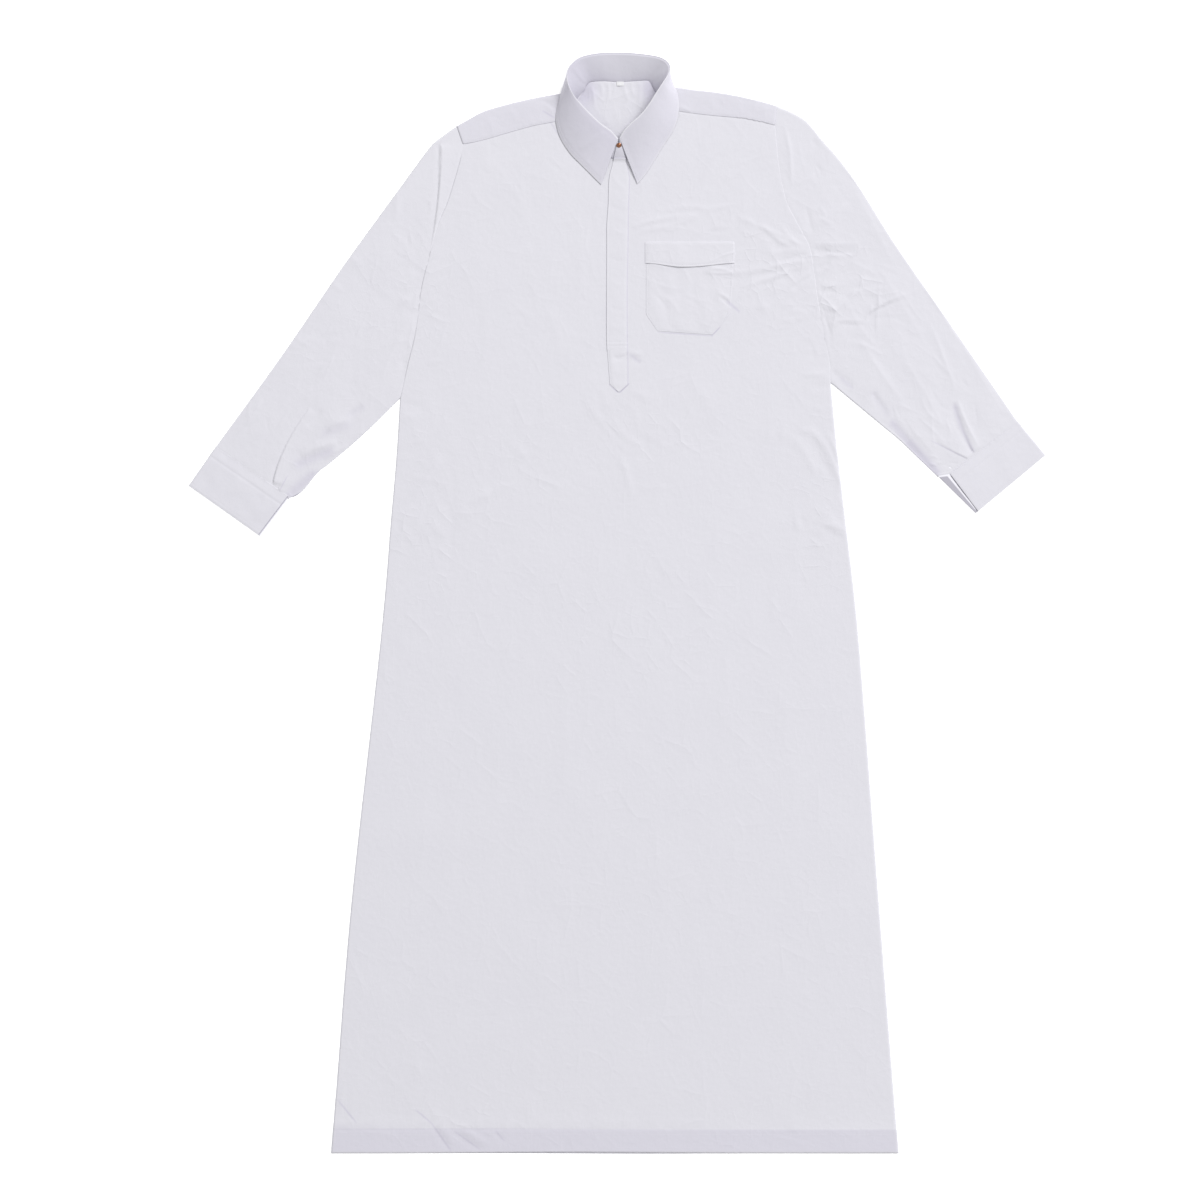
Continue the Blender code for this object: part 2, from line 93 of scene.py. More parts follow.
def toCurve(row, x, y):
    # distance, side and share along the bent line through a row's three points
    a, m, b = (np.array(row[k:k + 2], float) for k in (0, 2, 4))
    control = 2 * m - (a + b) / 2
    steps = np.linspace(0, 1, 9)[:, None]
    line = (1 - steps) ** 2 * a + 2 * steps * (1 - steps) * control + steps ** 2 * b
    best = np.full(x.shape, 1e9)
    side = np.zeros(x.shape)
    share = np.zeros(x.shape)
    for k in range(8):
        p, way = line[k], line[k + 1] - line[k]
        s = np.clip(((x - p[0]) * way[0] + (y - p[1]) * way[1]) / (way @ way), 0, 1)
        dx, dy = x - p[0] - s * way[0], y - p[1] - s * way[1]
        away = np.hypot(dx, dy)
        near = away < best
        best[near] = away[near]
        side[near] = np.sign(way[0] * dy - way[1] * dx)[near]
        share[near] = (k + s[near]) / 8
    return best, side, share


def nearRow(row, x, y, reach):
    xs, ys = row[0:6:2], row[1:6:2]
    return (x > min(xs) - reach) & (x < max(xs) + reach) & (y > min(ys) - reach) & (y < max(ys) + reach)


crease = {"width": 0.72, "height": 0.62, "strewn": 2.5, "strewnWidth": 0.8}


def creaseHeight(creases, x, y):
    # soft ridges and troughs with one flank steeper, that die out at both ends
    z = np.zeros(x.shape)
    for row in creases:
        width, height = row[6] * crease["width"], row[7] * crease["height"]
        near = nearRow(row, x, y, 3.5 * width)
        if near.any():
            away, side, share = toCurve(row, x[near], y[near])
            flank = np.where(side > 0, 0.45, 0.8) * width
            core = 0.1 * width + 0.4
            fall = np.exp(-(np.sqrt(away ** 2 + core ** 2) - core) / flank)
            z[near] += height * np.clip(4 * share * (1 - share), 0, 1) ** 0.7 * fall
    return z


def scatterCreases(zones, seed):
    # small creases strewn about each zone, none like its neighbour
    draw = np.random.RandomState(seed)
    rows = []
    for midX, midY, reachX, reachY, angle, spread, count, length, width, height in zones:
        for _ in range(count):
            x, y = midX + reachX * draw.normal(0, 0.6), midY + reachY * draw.normal(0, 0.6)
            turn = math.radians(angle + draw.normal(0, spread))
            half = 0.5 * length * draw.uniform(0.5, 1.5)
            dx, dy = half * math.cos(turn), half * math.sin(turn)
            bend, size = draw.normal(0, 0.14), draw.uniform(0.7, 1.4)
            lift = height * crease["strewn"] * draw.choice((-0.6, 1.0)) * draw.uniform(0.5, 1.3)
            size *= width * crease["strewnWidth"]
            rows.append((x - dx, y - dy, x - dy * bend, y + dx * bend, x + dx, y + dy, size, lift))
    return tuple(rows)


def shadeAt(spots, x, y):
    # light lost in the hollow of a fold: x, y at both ends, half width, share lost
    lost = np.zeros(x.shape)
    for x0, y0, x1, y1, width, amount in spots:
        away = toCurve((x0, y0, (x0 + x1) / 2, (y0 + y1) / 2, x1, y1), x, y)[0]
        lost = np.maximum(lost, amount * bump(away, width))
    return lost


def pleatHeight(pleats, x, y):
    # folds with one sharp edge: high on the left of their direction, dropping to a cleft on the right
    z = np.zeros(x.shape)
    for row in pleats:
        width, height, first, last = row[6:10]
        near = nearRow(row, x, y, 3 * width)
        if near.any():
            away, side, share = toCurve(row, x[near], y[near])
            strength = first + (last - first) * share
            sharp = 0.5 + 0.5 * np.tanh(side * away / 0.7)
            high = np.exp(-(away / width) ** 1.3) * sharp
            cleft = -0.45 * bump(away, 1.6) * (side < 0) - 0.25 * bump(away - 2, 4.0) * (side < 0)
            z[near] += height * strength * ease(share / 0.06) * ease((1 - share) / 0.06) * (high + cleft)
    return z


def ripple(x, y, size, height, seed):
    waves = np.random.RandomState(seed)
    z = np.zeros(x.shape)
    for k in range(10):
        angle, phase = waves.uniform(0, math.pi), waves.uniform(0, 2 * math.pi)
        length = size * waves.uniform(0.6, 1.8)
        z += np.sin((x * math.cos(angle) + y * math.sin(angle)) * 2 * math.pi / length + phase)
    return z * height / 3


# finishes

def nodeTools(tree):
    nodes, links = tree.nodes, tree.links

    def add(kind, **values):
        node = nodes.new(kind)
        for key, value in values.items():
            setattr(node, key, value)
        return node

    def math2(operation, a, b=None):
        node = add("ShaderNodeMath", operation=operation)
        for k, value in enumerate((a, b)):
            if value is None:
                continue
            if isinstance(value, (int, float)):
                node.inputs[k].default_value = value
            else:
                links.new(value, node.inputs[k])
        return node.outputs[0]

    return add, math2, links


def makeWeaveGroup():
    # plain weave read from the cloth's own grain map, in metres
    group = bpy.data.node_groups.new("plainWeave", "ShaderNodeTree")
    face = group.interface
    face.new_socket("Grain", in_out="INPUT", socket_type="NodeSocketVector")
    face.new_socket("Threads per metre", in_out="INPUT", socket_type="NodeSocketFloat").default_value = 2800
    face.new_socket("Height", in_out="OUTPUT", socket_type="NodeSocketFloat")
    face.new_socket("Slub", in_out="OUTPUT", socket_type="NodeSocketFloat")
    add, math2, links = nodeTools(group)
    given, out = add("NodeGroupInput"), add("NodeGroupOutput")
    split = add("ShaderNodeSeparateXYZ")
    links.new(given.outputs["Grain"], split.inputs[0])
    u = math2("MULTIPLY", split.outputs[0], given.outputs["Threads per metre"])
    v = math2("MULTIPLY", split.outputs[1], given.outputs["Threads per metre"])
    warp = math2("ABSOLUTE", math2("SINE", math2("MULTIPLY", u, math.pi)))
    weft = math2("ABSOLUTE", math2("SINE", math2("MULTIPLY", v, math.pi)))
    parity = math2("FLOORED_MODULO", math2("ADD", math2("FLOOR", u), math2("FLOOR", v)), 2.0)
    over = math2("MULTIPLY", warp, parity)
    under = math2("MULTIPLY", weft, math2("SUBTRACT", 1.0, parity))
    links.new(math2("ADD", over, under), out.inputs["Height"])
    slubs = []
    for stretch in ((1.0, 0.02, 1.0), (0.02, 1.0, 1.0)):
        place = add("ShaderNodeMapping")
        place.inputs["Scale"].default_value = stretch
        links.new(given.outputs["Grain"], place.inputs["Vector"])
        noise = add("ShaderNodeTexNoise")
        noise.inputs["Scale"].default_value = 1600
        noise.inputs["Detail"].default_value = 2
        links.new(place.outputs[0], noise.inputs["Vector"])
        slubs.append(noise.outputs["Fac"])
    links.new(math2("MULTIPLY", math2("ADD", *slubs), 0.5), out.inputs["Slub"])
    return group


def makeCrumpleGroup():
    # fine pressed-in creases: edges of bent cells, broken up so that few of them meet
    group = bpy.data.node_groups.new("crumple", "ShaderNodeTree")
    face = group.interface
    face.new_socket("Place", in_out="INPUT", socket_type="NodeSocketVector")
    face.new_socket("Height", in_out="OUTPUT", socket_type="NodeSocketFloat")
    add, math2, links = nodeTools(group)
    given, out = add("NodeGroupInput"), add("NodeGroupOutput")
    layers = []
    for scale, bend, seed, weight in ((17, 0.014, 0.0, 1.0), (34, 0.008, 3.1, 0.6), (70, 0.004, 7.7, 0.3)):
        shift = add("ShaderNodeVectorMath", operation="ADD")
        shift.inputs[1].default_value = (seed, seed, 0)
        links.new(given.outputs[0], shift.inputs[0])
        warp = add("ShaderNodeTexNoise")
        warp.inputs["Scale"].default_value = scale * 0.9
        warp.inputs["Detail"].default_value = 2
        links.new(shift.outputs[0], warp.inputs["Vector"])
        size = add("ShaderNodeVectorMath", operation="SCALE")
        size.inputs["Scale"].default_value = bend
        links.new(warp.outputs["Color"], size.inputs[0])
        bent = add("ShaderNodeVectorMath", operation="ADD")
        links.new(shift.outputs[0], bent.inputs[0])
        links.new(size.outputs[0], bent.inputs[1])
        cells = add("ShaderNodeTexVoronoi", feature="DISTANCE_TO_EDGE", voronoi_dimensions="2D")
        cells.inputs["Scale"].default_value = scale
        links.new(bent.outputs[0], cells.inputs["Vector"])
        ridge = math2("POWER", math2("SUBTRACT", 1.0, math2("MULTIPLY", cells.outputs["Distance"], 2.2)), 7.0)
        patch = add("ShaderNodeTexNoise")
        patch.inputs["Scale"].default_value = scale * 0.8
        links.new(bent.outputs[0], patch.inputs["Vector"])
        span = add("ShaderNodeMapRange", interpolation_type="SMOOTHSTEP")
        span.inputs["From Min"].default_value = 0.45
        span.inputs["From Max"].default_value = 0.68
        links.new(patch.outputs["Fac"], span.inputs["Value"])
        broken = math2("MULTIPLY", math2("MAXIMUM", ridge, 0.0), span.outputs[0])
        layers.append(math2("MULTIPLY", broken, weight))
    links.new(math2("ADD", math2("ADD", layers[0], layers[1]), layers[2]), out.inputs["Height"])
    return group


weaveGroup = makeWeaveGroup()
crumpleGroup = makeCrumpleGroup()


def makeCreaseShadeGroup():
    # mask for painted shade along one crisp crease line from start to end, in metres, dying out at both ends
    group = bpy.data.node_groups.new("paintedCreaseShade", "ShaderNodeTree")
    face = group.interface
    for socket in ("Place", "Start", "Way"):
        face.new_socket(socket, in_out="INPUT", socket_type="NodeSocketVector")
    face.new_socket("Half width", in_out="INPUT", socket_type="NodeSocketFloat").default_value = 0.0015
    face.new_socket("Mask", in_out="OUTPUT", socket_type="NodeSocketFloat")
    add, math2, links = nodeTools(group)
    given, out = add("NodeGroupInput"), add("NodeGroupOutput")

    def vector(operation, a, b, result=0):
        node = add("ShaderNodeVectorMath", operation=operation)
        links.new(a, node.inputs[0])
        links.new(b, node.inputs["Scale"] if operation == "SCALE" else node.inputs[1])
        return node.outputs[result]

    place, start, way = (given.outputs[socket] for socket in ("Place", "Start", "Way"))
    flat = add("ShaderNodeVectorMath", operation="MULTIPLY")
    flat.inputs[1].default_value = (1, 1, 0)
    links.new(vector("SUBTRACT", place, start), flat.inputs[0])
    along = math2("DIVIDE", vector("DOT_PRODUCT", flat.outputs[0], way, 1), vector("DOT_PRODUCT", way, way, 1))
    along = math2("MAXIMUM", math2("MINIMUM", along, 1.0), 0.0)
    away = add("ShaderNodeVectorMath", operation="LENGTH")
    links.new(vector("SUBTRACT", flat.outputs[0], vector("SCALE", way, along)), away.inputs[0])
    share = math2("DIVIDE", away.outputs[1], given.outputs["Half width"])
    near = math2("MAXIMUM", math2("SUBTRACT", 1.0, share), 0.0)
    taper = math2("POWER", math2("MULTIPLY", math2("MULTIPLY", along, math2("SUBTRACT", 1.0, along)), 4.0), 0.4)
    links.new(math2("MULTIPLY", math2("POWER", near, 1.3), taper), out.inputs["Mask"])
    return group


creaseShadeGroup = makeCreaseShadeGroup()

# painted shade along crease lines: x y at the start and end, half width, share of light lost
frontCreaseShade = (
    (-378, -669, -351, -702, 2.4, 0.13),           # at the hem
    (-273, -682, -249, -703, 2.4, 0.13),
    (-250, -702, -224, -739, 2.6, 0.14),
    (-220, -712, -183, -738, 2.2, 0.09),
    (-164, -711, -152, -726, 2.2, 0.09),
    (3, 284.2, 16.5, 297, 1.5, 0.28),              # round the fly's point
    (1.5, 284.2, -11.5, 296, 1.5, 0.16),
    (15.5, 337, 32, 325, 5.0, 0.08),               # dimple beside it
    (127, 360.5, 139.5, 373.5, 1.5, 0.20),         # below the pocket
    (54, 366.2, 130, 361, 1.5, 0.16),
    (147, 409, 166, 393, 3.4, 0.12),               # the fold that crosses the pocket's edge
    (-91, 652, -80, 633, 2.2, 0.10),               # beside the collar
)
yokeCreaseShade = ((-101, 665, -84, 655, 2.2, 0.12),)
sleeveCreaseShade = ((-456, 151.5, -444.5, 173, 1.5, 0.14), (423, 220, 472, 195.5, 1.5, 0.12))    # second pleats


finish = {
    "white": (0.692, 0.685, 0.735),
    "tape": (0.77, 0.77, 0.79),
    "roughness": 0.86,
    "sheen": 0.12,
    "slub": 0.03,                  # how much thicker threads show in the tone
    "violet": (0.0, 0.13, -0.33),  # powers that turn shaded cloth a little violet
    "shadeLimits": (0.88, 1.0),
    "handScale": 130,              # unevenness under the hand
    "handHeight": 0.0006,
}


def makeCloth(name, colour, mottle, weaveHeight, crumpled, lines=()):
    made = bpy.data.materials.new(name)
    made.use_nodes = True
    add, math2, links = nodeTools(made.node_tree)
    shader = made.node_tree.nodes["Principled BSDF"]
    shader.inputs["Specular IOR Level"].default_value = 0.25
    shader.inputs["Sheen Weight"].default_value = finish["sheen"]
    shader.inputs["Sheen Roughness"].default_value = 0.6
    grain = add("ShaderNodeUVMap", uv_map="grain")
    weave = add("ShaderNodeGroup", node_tree=weaveGroup)
    links.new(grain.outputs[0], weave.inputs["Grain"])
    place = add("ShaderNodeTexCoord")
    cloudy = add("ShaderNodeTexNoise")
    cloudy.inputs["Scale"].default_value = 22
    cloudy.inputs["Detail"].default_value = 5
    cloudy.inputs["Roughness"].default_value = 0.62
    links.new(place.outputs["Object"], cloudy.inputs["Vector"])
    shadeAndTone = add("ShaderNodeAttribute", attribute_name="shadeAndTone")
    level = math2("ADD", math2("MULTIPLY", cloudy.outputs["Fac"], mottle), 1 - mottle / 2)
    slub = math2("ADD", math2("MULTIPLY", weave.outputs["Slub"], finish["slub"]), 1 - finish["slub"] / 2)
    level = math2("MULTIPLY", level, slub)
    level = math2("MULTIPLY", level, shadeAndTone.outputs["Fac"])
    # painted shade along each crease line darkens the colour
    for x0, y0, x1, y1, width, amount in lines:
        line = add("ShaderNodeGroup", node_tree=creaseShadeGroup)
        links.new(place.outputs["Object"], line.inputs["Place"])
        line.inputs["Start"].default_value = (x0 * mm, y0 * mm, 0)
        line.inputs["Way"].default_value = ((x1 - x0) * mm, (y1 - y0) * mm, 0)
        line.inputs["Half width"].default_value = width * mm
        lost = math2("MULTIPLY", line.outputs["Mask"], amount)
        level = math2("MULTIPLY", level, math2("SUBTRACT", 1.0, lost))
    shade = add("ShaderNodeMix", data_type="RGBA", blend_type="MULTIPLY")
    shade.inputs["Factor"].default_value = 1.0
    shade.inputs["A"].default_value = (*colour, 1)
    cast = add("ShaderNodeCombineColor")
    darkest, lightest = finish["shadeLimits"]
    shaded = math2("MINIMUM", math2("MAXIMUM", level, darkest), lightest)
    for k, power in enumerate(finish["violet"]):
        links.new(math2("MULTIPLY", level, math2("POWER", shaded, power)), cast.inputs[k])
    links.new(cast.outputs[0], shade.inputs["B"])
    links.new(shade.outputs["Result"], shader.inputs["Base Color"])
    rough = math2("ADD", math2("MULTIPLY", weave.outputs["Height"], 0.06), finish["roughness"] - 0.03)
    links.new(rough, shader.inputs["Roughness"])
    weaveBump = add("ShaderNodeBump")
    weaveBump.inputs["Strength"].default_value = 0.35
    weaveBump.inputs["Distance"].default_value = weaveHeight
    links.new(weave.outputs["Height"], weaveBump.inputs["Height"])
    handBump = add("ShaderNodeBump")
    handBump.inputs["Strength"].default_value = 0.5
    handBump.inputs["Distance"].default_value = finish["handHeight"]
    soft = add("ShaderNodeTexNoise")
    soft.inputs["Scale"].default_value = finish["handScale"]
    soft.inputs["Detail"].default_value = 3
    links.new(place.outputs["Object"], soft.inputs["Vector"])
    links.new(soft.outputs["Fac"], handBump.inputs["Height"])
    links.new(weaveBump.outputs[0], handBump.inputs["Normal"])
    crumple = add("ShaderNodeGroup", node_tree=crumpleGroup)
    links.new(place.outputs["Object"], crumple.inputs["Place"])
    worn = add("ShaderNodeAttribute", attribute_name="crumple")
    crumpleBump = add("ShaderNodeBump")
    crumpleBump.inputs["Strength"].default_value = 1.0
    crumpleBump.inputs["Distance"].default_value = crumpled
    links.new(math2("MULTIPLY", crumple.outputs["Height"], worn.outputs["Fac"]), crumpleBump.inputs["Height"])
    links.new(handBump.outputs[0], crumpleBump.inputs["Normal"])
    links.new(crumpleBump.outputs[0], shader.inputs["Normal"])
    return made


# the same shirting for each part of the robe, with that part's own lines of painted crease shade
shirting, frontShirting, yokeShirting, sleeveShirting = (
    makeCloth(name, finish["white"], 0.03, 0.00006, 0.0008, lines)
    for name, lines in (("shirting", ()), ("frontShirting", frontCreaseShade), ("yokeShirting", yokeCreaseShade),
                        ("sleeveShirting", sleeveCreaseShade)))
banding = makeCloth("banding", finish["white"], 0.025, 0.00005, 0.00012)
labelTape = makeCloth("labelTape", finish["tape"], 0.02, 0.00008, 0.0)


def makeThread():
    made = bpy.data.materials.new("thread")
    made.use_nodes = True
    add, math2, links = nodeTools(made.node_tree)
    shader = made.node_tree.nodes["Principled BSDF"]
    shader.inputs["Sheen Weight"].default_value = 0.2
    place = add("ShaderNodeTexCoord")
    twist = add("ShaderNodeTexWave")
    twist.inputs["Scale"].default_value = 900
    links.new(place.outputs["Object"], twist.inputs["Vector"])
    ramp = add("ShaderNodeValToRGB")
    ramp.color_ramp.elements[0].color = (0.66, 0.655, 0.70, 1)
    ramp.color_ramp.elements[1].color = (0.73, 0.72, 0.77, 1)
    links.new(twist.outputs["Fac"], ramp.inputs["Fac"])
    links.new(ramp.outputs["Color"], shader.inputs["Base Color"])
    links.new(math2("ADD", math2("MULTIPLY", twist.outputs["Fac"], 0.1), 0.6), shader.inputs["Roughness"])
    return made


thread = makeThread()


def makeCopper():
    made = bpy.data.materials.new("copperPlate")
    made.use_nodes = True
    add, math2, links = nodeTools(made.node_tree)
    shader = made.node_tree.nodes["Principled BSDF"]
    shader.inputs["Metallic"].default_value = 1.0
    place = add("ShaderNodeTexCoord")
    scuff = add("ShaderNodeTexNoise")
    scuff.inputs["Scale"].default_value = 700
    scuff.inputs["Detail"].default_value = 4
    links.new(place.outputs["Object"], scuff.inputs["Vector"])
    ramp = add("ShaderNodeValToRGB")
    # copper's own scuffed colour, made darker than clean copper to paint in the shade over the stud
    ramp.color_ramp.elements[0].color = (0.22, 0.085, 0.05, 1)
    ramp.color_ramp.elements[1].color = (0.52, 0.26, 0.15, 1)
    links.new(scuff.outputs["Fac"], ramp.inputs["Fac"])
    links.new(ramp.outputs["Color"], shader.inputs["Base Color"])
    links.new(math2("ADD", math2("MULTIPLY", scuff.outputs["Fac"], 0.25), 0.22), shader.inputs["Roughness"])
    return made


copper = makeCopper()
print("finishes ready")


# how crumpled the cloth is: middle x y, reach x y, amount
crumpleSpots = (
    (205, 455, 90, 70, 1.0),
    (100, 500, 110, 60, 0.6),
    (300, 430, 80, 90, 1.0),
    (380, 260, 100, 80, 0.3),
    (30, 230, 120, 70, 0.6),
    (-130, 190, 110, 80, 0.5),
    (-262, 110, 50, 140, 0.9),
    (278, 130, 50, 130, 0.8),
    (-262, 400, 60, 110, 0.7),
    (-420, 210, 90, 80, 0.45),
    (-360, 400, 110, 110, 0.5),
    (0, -20, 280, 160, 0.45),
    (-170, -690, 220, 50, 0.4),
    (150, -700, 220, 45, 0.45),
    (0, 670, 90, 50, 0.6),
    (0, -400, 360, 300, 0.3),
)


def crumpleAt(x, y):
    worn = np.full(x.shape, 0.25)
    for midX, midY, reachX, reachY, amount in crumpleSpots:
        worn = np.maximum(worn, amount * np.exp(-((x - midX) / reachX) ** 2 - ((y - midY) / reachY) ** 2))
    return worn


# cloth meshes

def sheetMesh(name, uTicks, vTicks, place, material, closed=False, turned=False):
    # a grid laid out by place(u, v), which gives x, y, z, grain across, grain along and the colour level, which
    # carries painted shade and painted highlights as well as plain changes of tone
    grid = bmesh.new()
    across, rows = len(uTicks) - 1, len(vTicks) - 1
    bmesh.ops.create_grid(grid, x_segments=across, y_segments=rows, size=1.0)
    mesh = bpy.data.meshes.new(name)
    grid.to_mesh(mesh)
    grid.free()
    spot = np.empty(len(mesh.vertices) * 3, np.float32)
    mesh.vertices.foreach_get("co", spot)
    spot = spot.reshape(-1, 3)
    u = uTicks[np.rint((spot[:, 0] + 1) / 2 * across).astype(int)]
    v = vTicks[np.rint((spot[:, 1] + 1) / 2 * rows).astype(int)]
    x, y, z, grainX, grainY, shadeAndTone = place(u, v)
    mesh.vertices.foreach_set("co", (np.column_stack([x, y, z]) * mm).astype(np.float32).ravel())
    mesh.attributes.new("shadeAndTone", "FLOAT", "POINT").data.foreach_set("value", np.broadcast_to(shadeAndTone, x.shape).copy())
    worn = crumpleAt(np.asarray(x), np.asarray(y))
    mesh.attributes.new("crumple", "FLOAT", "POINT").data.foreach_set("value", worn)
    corners = np.empty(len(mesh.loops), np.int32)
    mesh.loops.foreach_get("vertex_index", corners)
    flat = np.column_stack([grainX, grainY])[corners] * mm
    mesh.uv_layers.new(name="grain").data.foreach_set("uv", flat.ravel())
    tidy = bmesh.new()
    tidy.from_mesh(mesh)
    if closed:
        bmesh.ops.remove_doubles(tidy, verts=tidy.verts, dist=0.000001)
    if closed or turned:
        bmesh.ops.recalc_face_normals(tidy, faces=tidy.faces)
    elif sum(face.normal.z for face in tidy.faces) < 0:
        bmesh.ops.reverse_faces(tidy, faces=tidy.faces)
    for face in tidy.faces:
        face.smooth = True
    tidy.to_mesh(mesh)
    tidy.free()
    mesh.materials.append(material)
    return mesh


def addPiece(name, mesh, slot, nodes=(), thickness=0.0):
    piece = bpy.data.objects.new(name, mesh)
    scene.collection.objects.link(piece)
    if thickness:
        wall = piece.modifiers.new("wall", "SOLIDIFY")
        wall.thickness = thickness * mm
        wall.offset = 0.0
    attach(piece, "root")
    if nodes:
        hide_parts(*nodes)
    return piece


def joinMeshes(name, meshes, weld):
    whole = bmesh.new()
    for mesh in meshes:
        whole.from_mesh(mesh)
    if weld:
        bmesh.ops.remove_doubles(whole, verts=whole.verts, dist=weld)
        bmesh.ops.recalc_face_normals(whole, faces=whole.faces)
    joined = meshes[0].copy()
    joined.name = name
    whole.to_mesh(joined)
    whole.free()
    return joined


# outlines

sideLeft = ((-386, -741.8), (-379, -657), (-358, -400), (-319, -49), (-305, 113), (-297, 207), (-293, 277))
sideRight = ((380, -741.8), (373, -657), (353, -400), (326, -49), (308, 113), (297, 207), (288, 298))
armLeft = ((-293, 277), (-282, 326), (-274, 358), (-269, 392), (-265, 423), (-256, 461), (-242, 511),
           (-230, 539), (-220, 570), (-212, 599), (-209, 621), (-217, 644))
armRight = ((288, 298), (287, 328), (281, 360), (272, 406), (267, 442), (260, 481), (243, 514),
            (229, 543), (221, 578), (217, 605), (213, 647), (216, 671))
foldLeft = ((-217, 644), (-199, 654), (-180, 664), (-146, 674), (-111, 682), (-76, 688), (-46, 691))
seamLeft = ((-209, 621), (-195, 624), (-178, 628), (-147, 637), (-114, 646), (-83, 652), (-64, 657))
foldRight = ((216, 671), (196, 677), (161, 685), (131, 690), (104, 693), (82, 696), (50, 697))
seamRight = ((213, 647), (196, 651), (163, 657), (131, 660), (104, 663), (83, 666), (66, 668))
backNeck = ((-46, 691), (-41, 700), (-35, 704), (-19, 705), (1, 704), (23, 705), (40, 706), (45, 703), (50, 697))
frontNeck = ((-64, 657), (-62, 647), (-50, 630), (-34, 615), (-15, 604), (2, 599), (20, 605), (40, 616),
             (58, 634), (67, 651), (66, 668))


def lengthOf(points):
    return float(np.linalg.norm(np.diff(np.array(points, float), axis=0), axis=1).sum())


def chain(curves, t):
    # one line made of smooth curves end to end, read at shares t of its whole length
    sizes = np.array([lengthOf(c) for c in curves])
    at = np.r_[0, np.cumsum(sizes)] / sizes.sum()
    place = np.zeros((len(t), 2))
    for k, curve in enumerate(curves):
        here = (t >= at[k]) & ((t < at[k + 1]) | (k == len(curves) - 1))
        place[here] = alongCurve(curve, (t[here] - at[k]) / (at[k + 1] - at[k]))
    return place


def shareAt(curves, k):
    sizes = np.array([lengthOf(c) for c in curves])
    return float(sizes[:k].sum() / sizes.sum())


frontTop = (seamLeft, frontNeck, seamRight[::-1])
frontArms = (armLeft[:11], armRight[:11])
backTop = (foldLeft, backNeck, foldRight[::-1])

# creases: x, y at the start, middle and end, half width, height

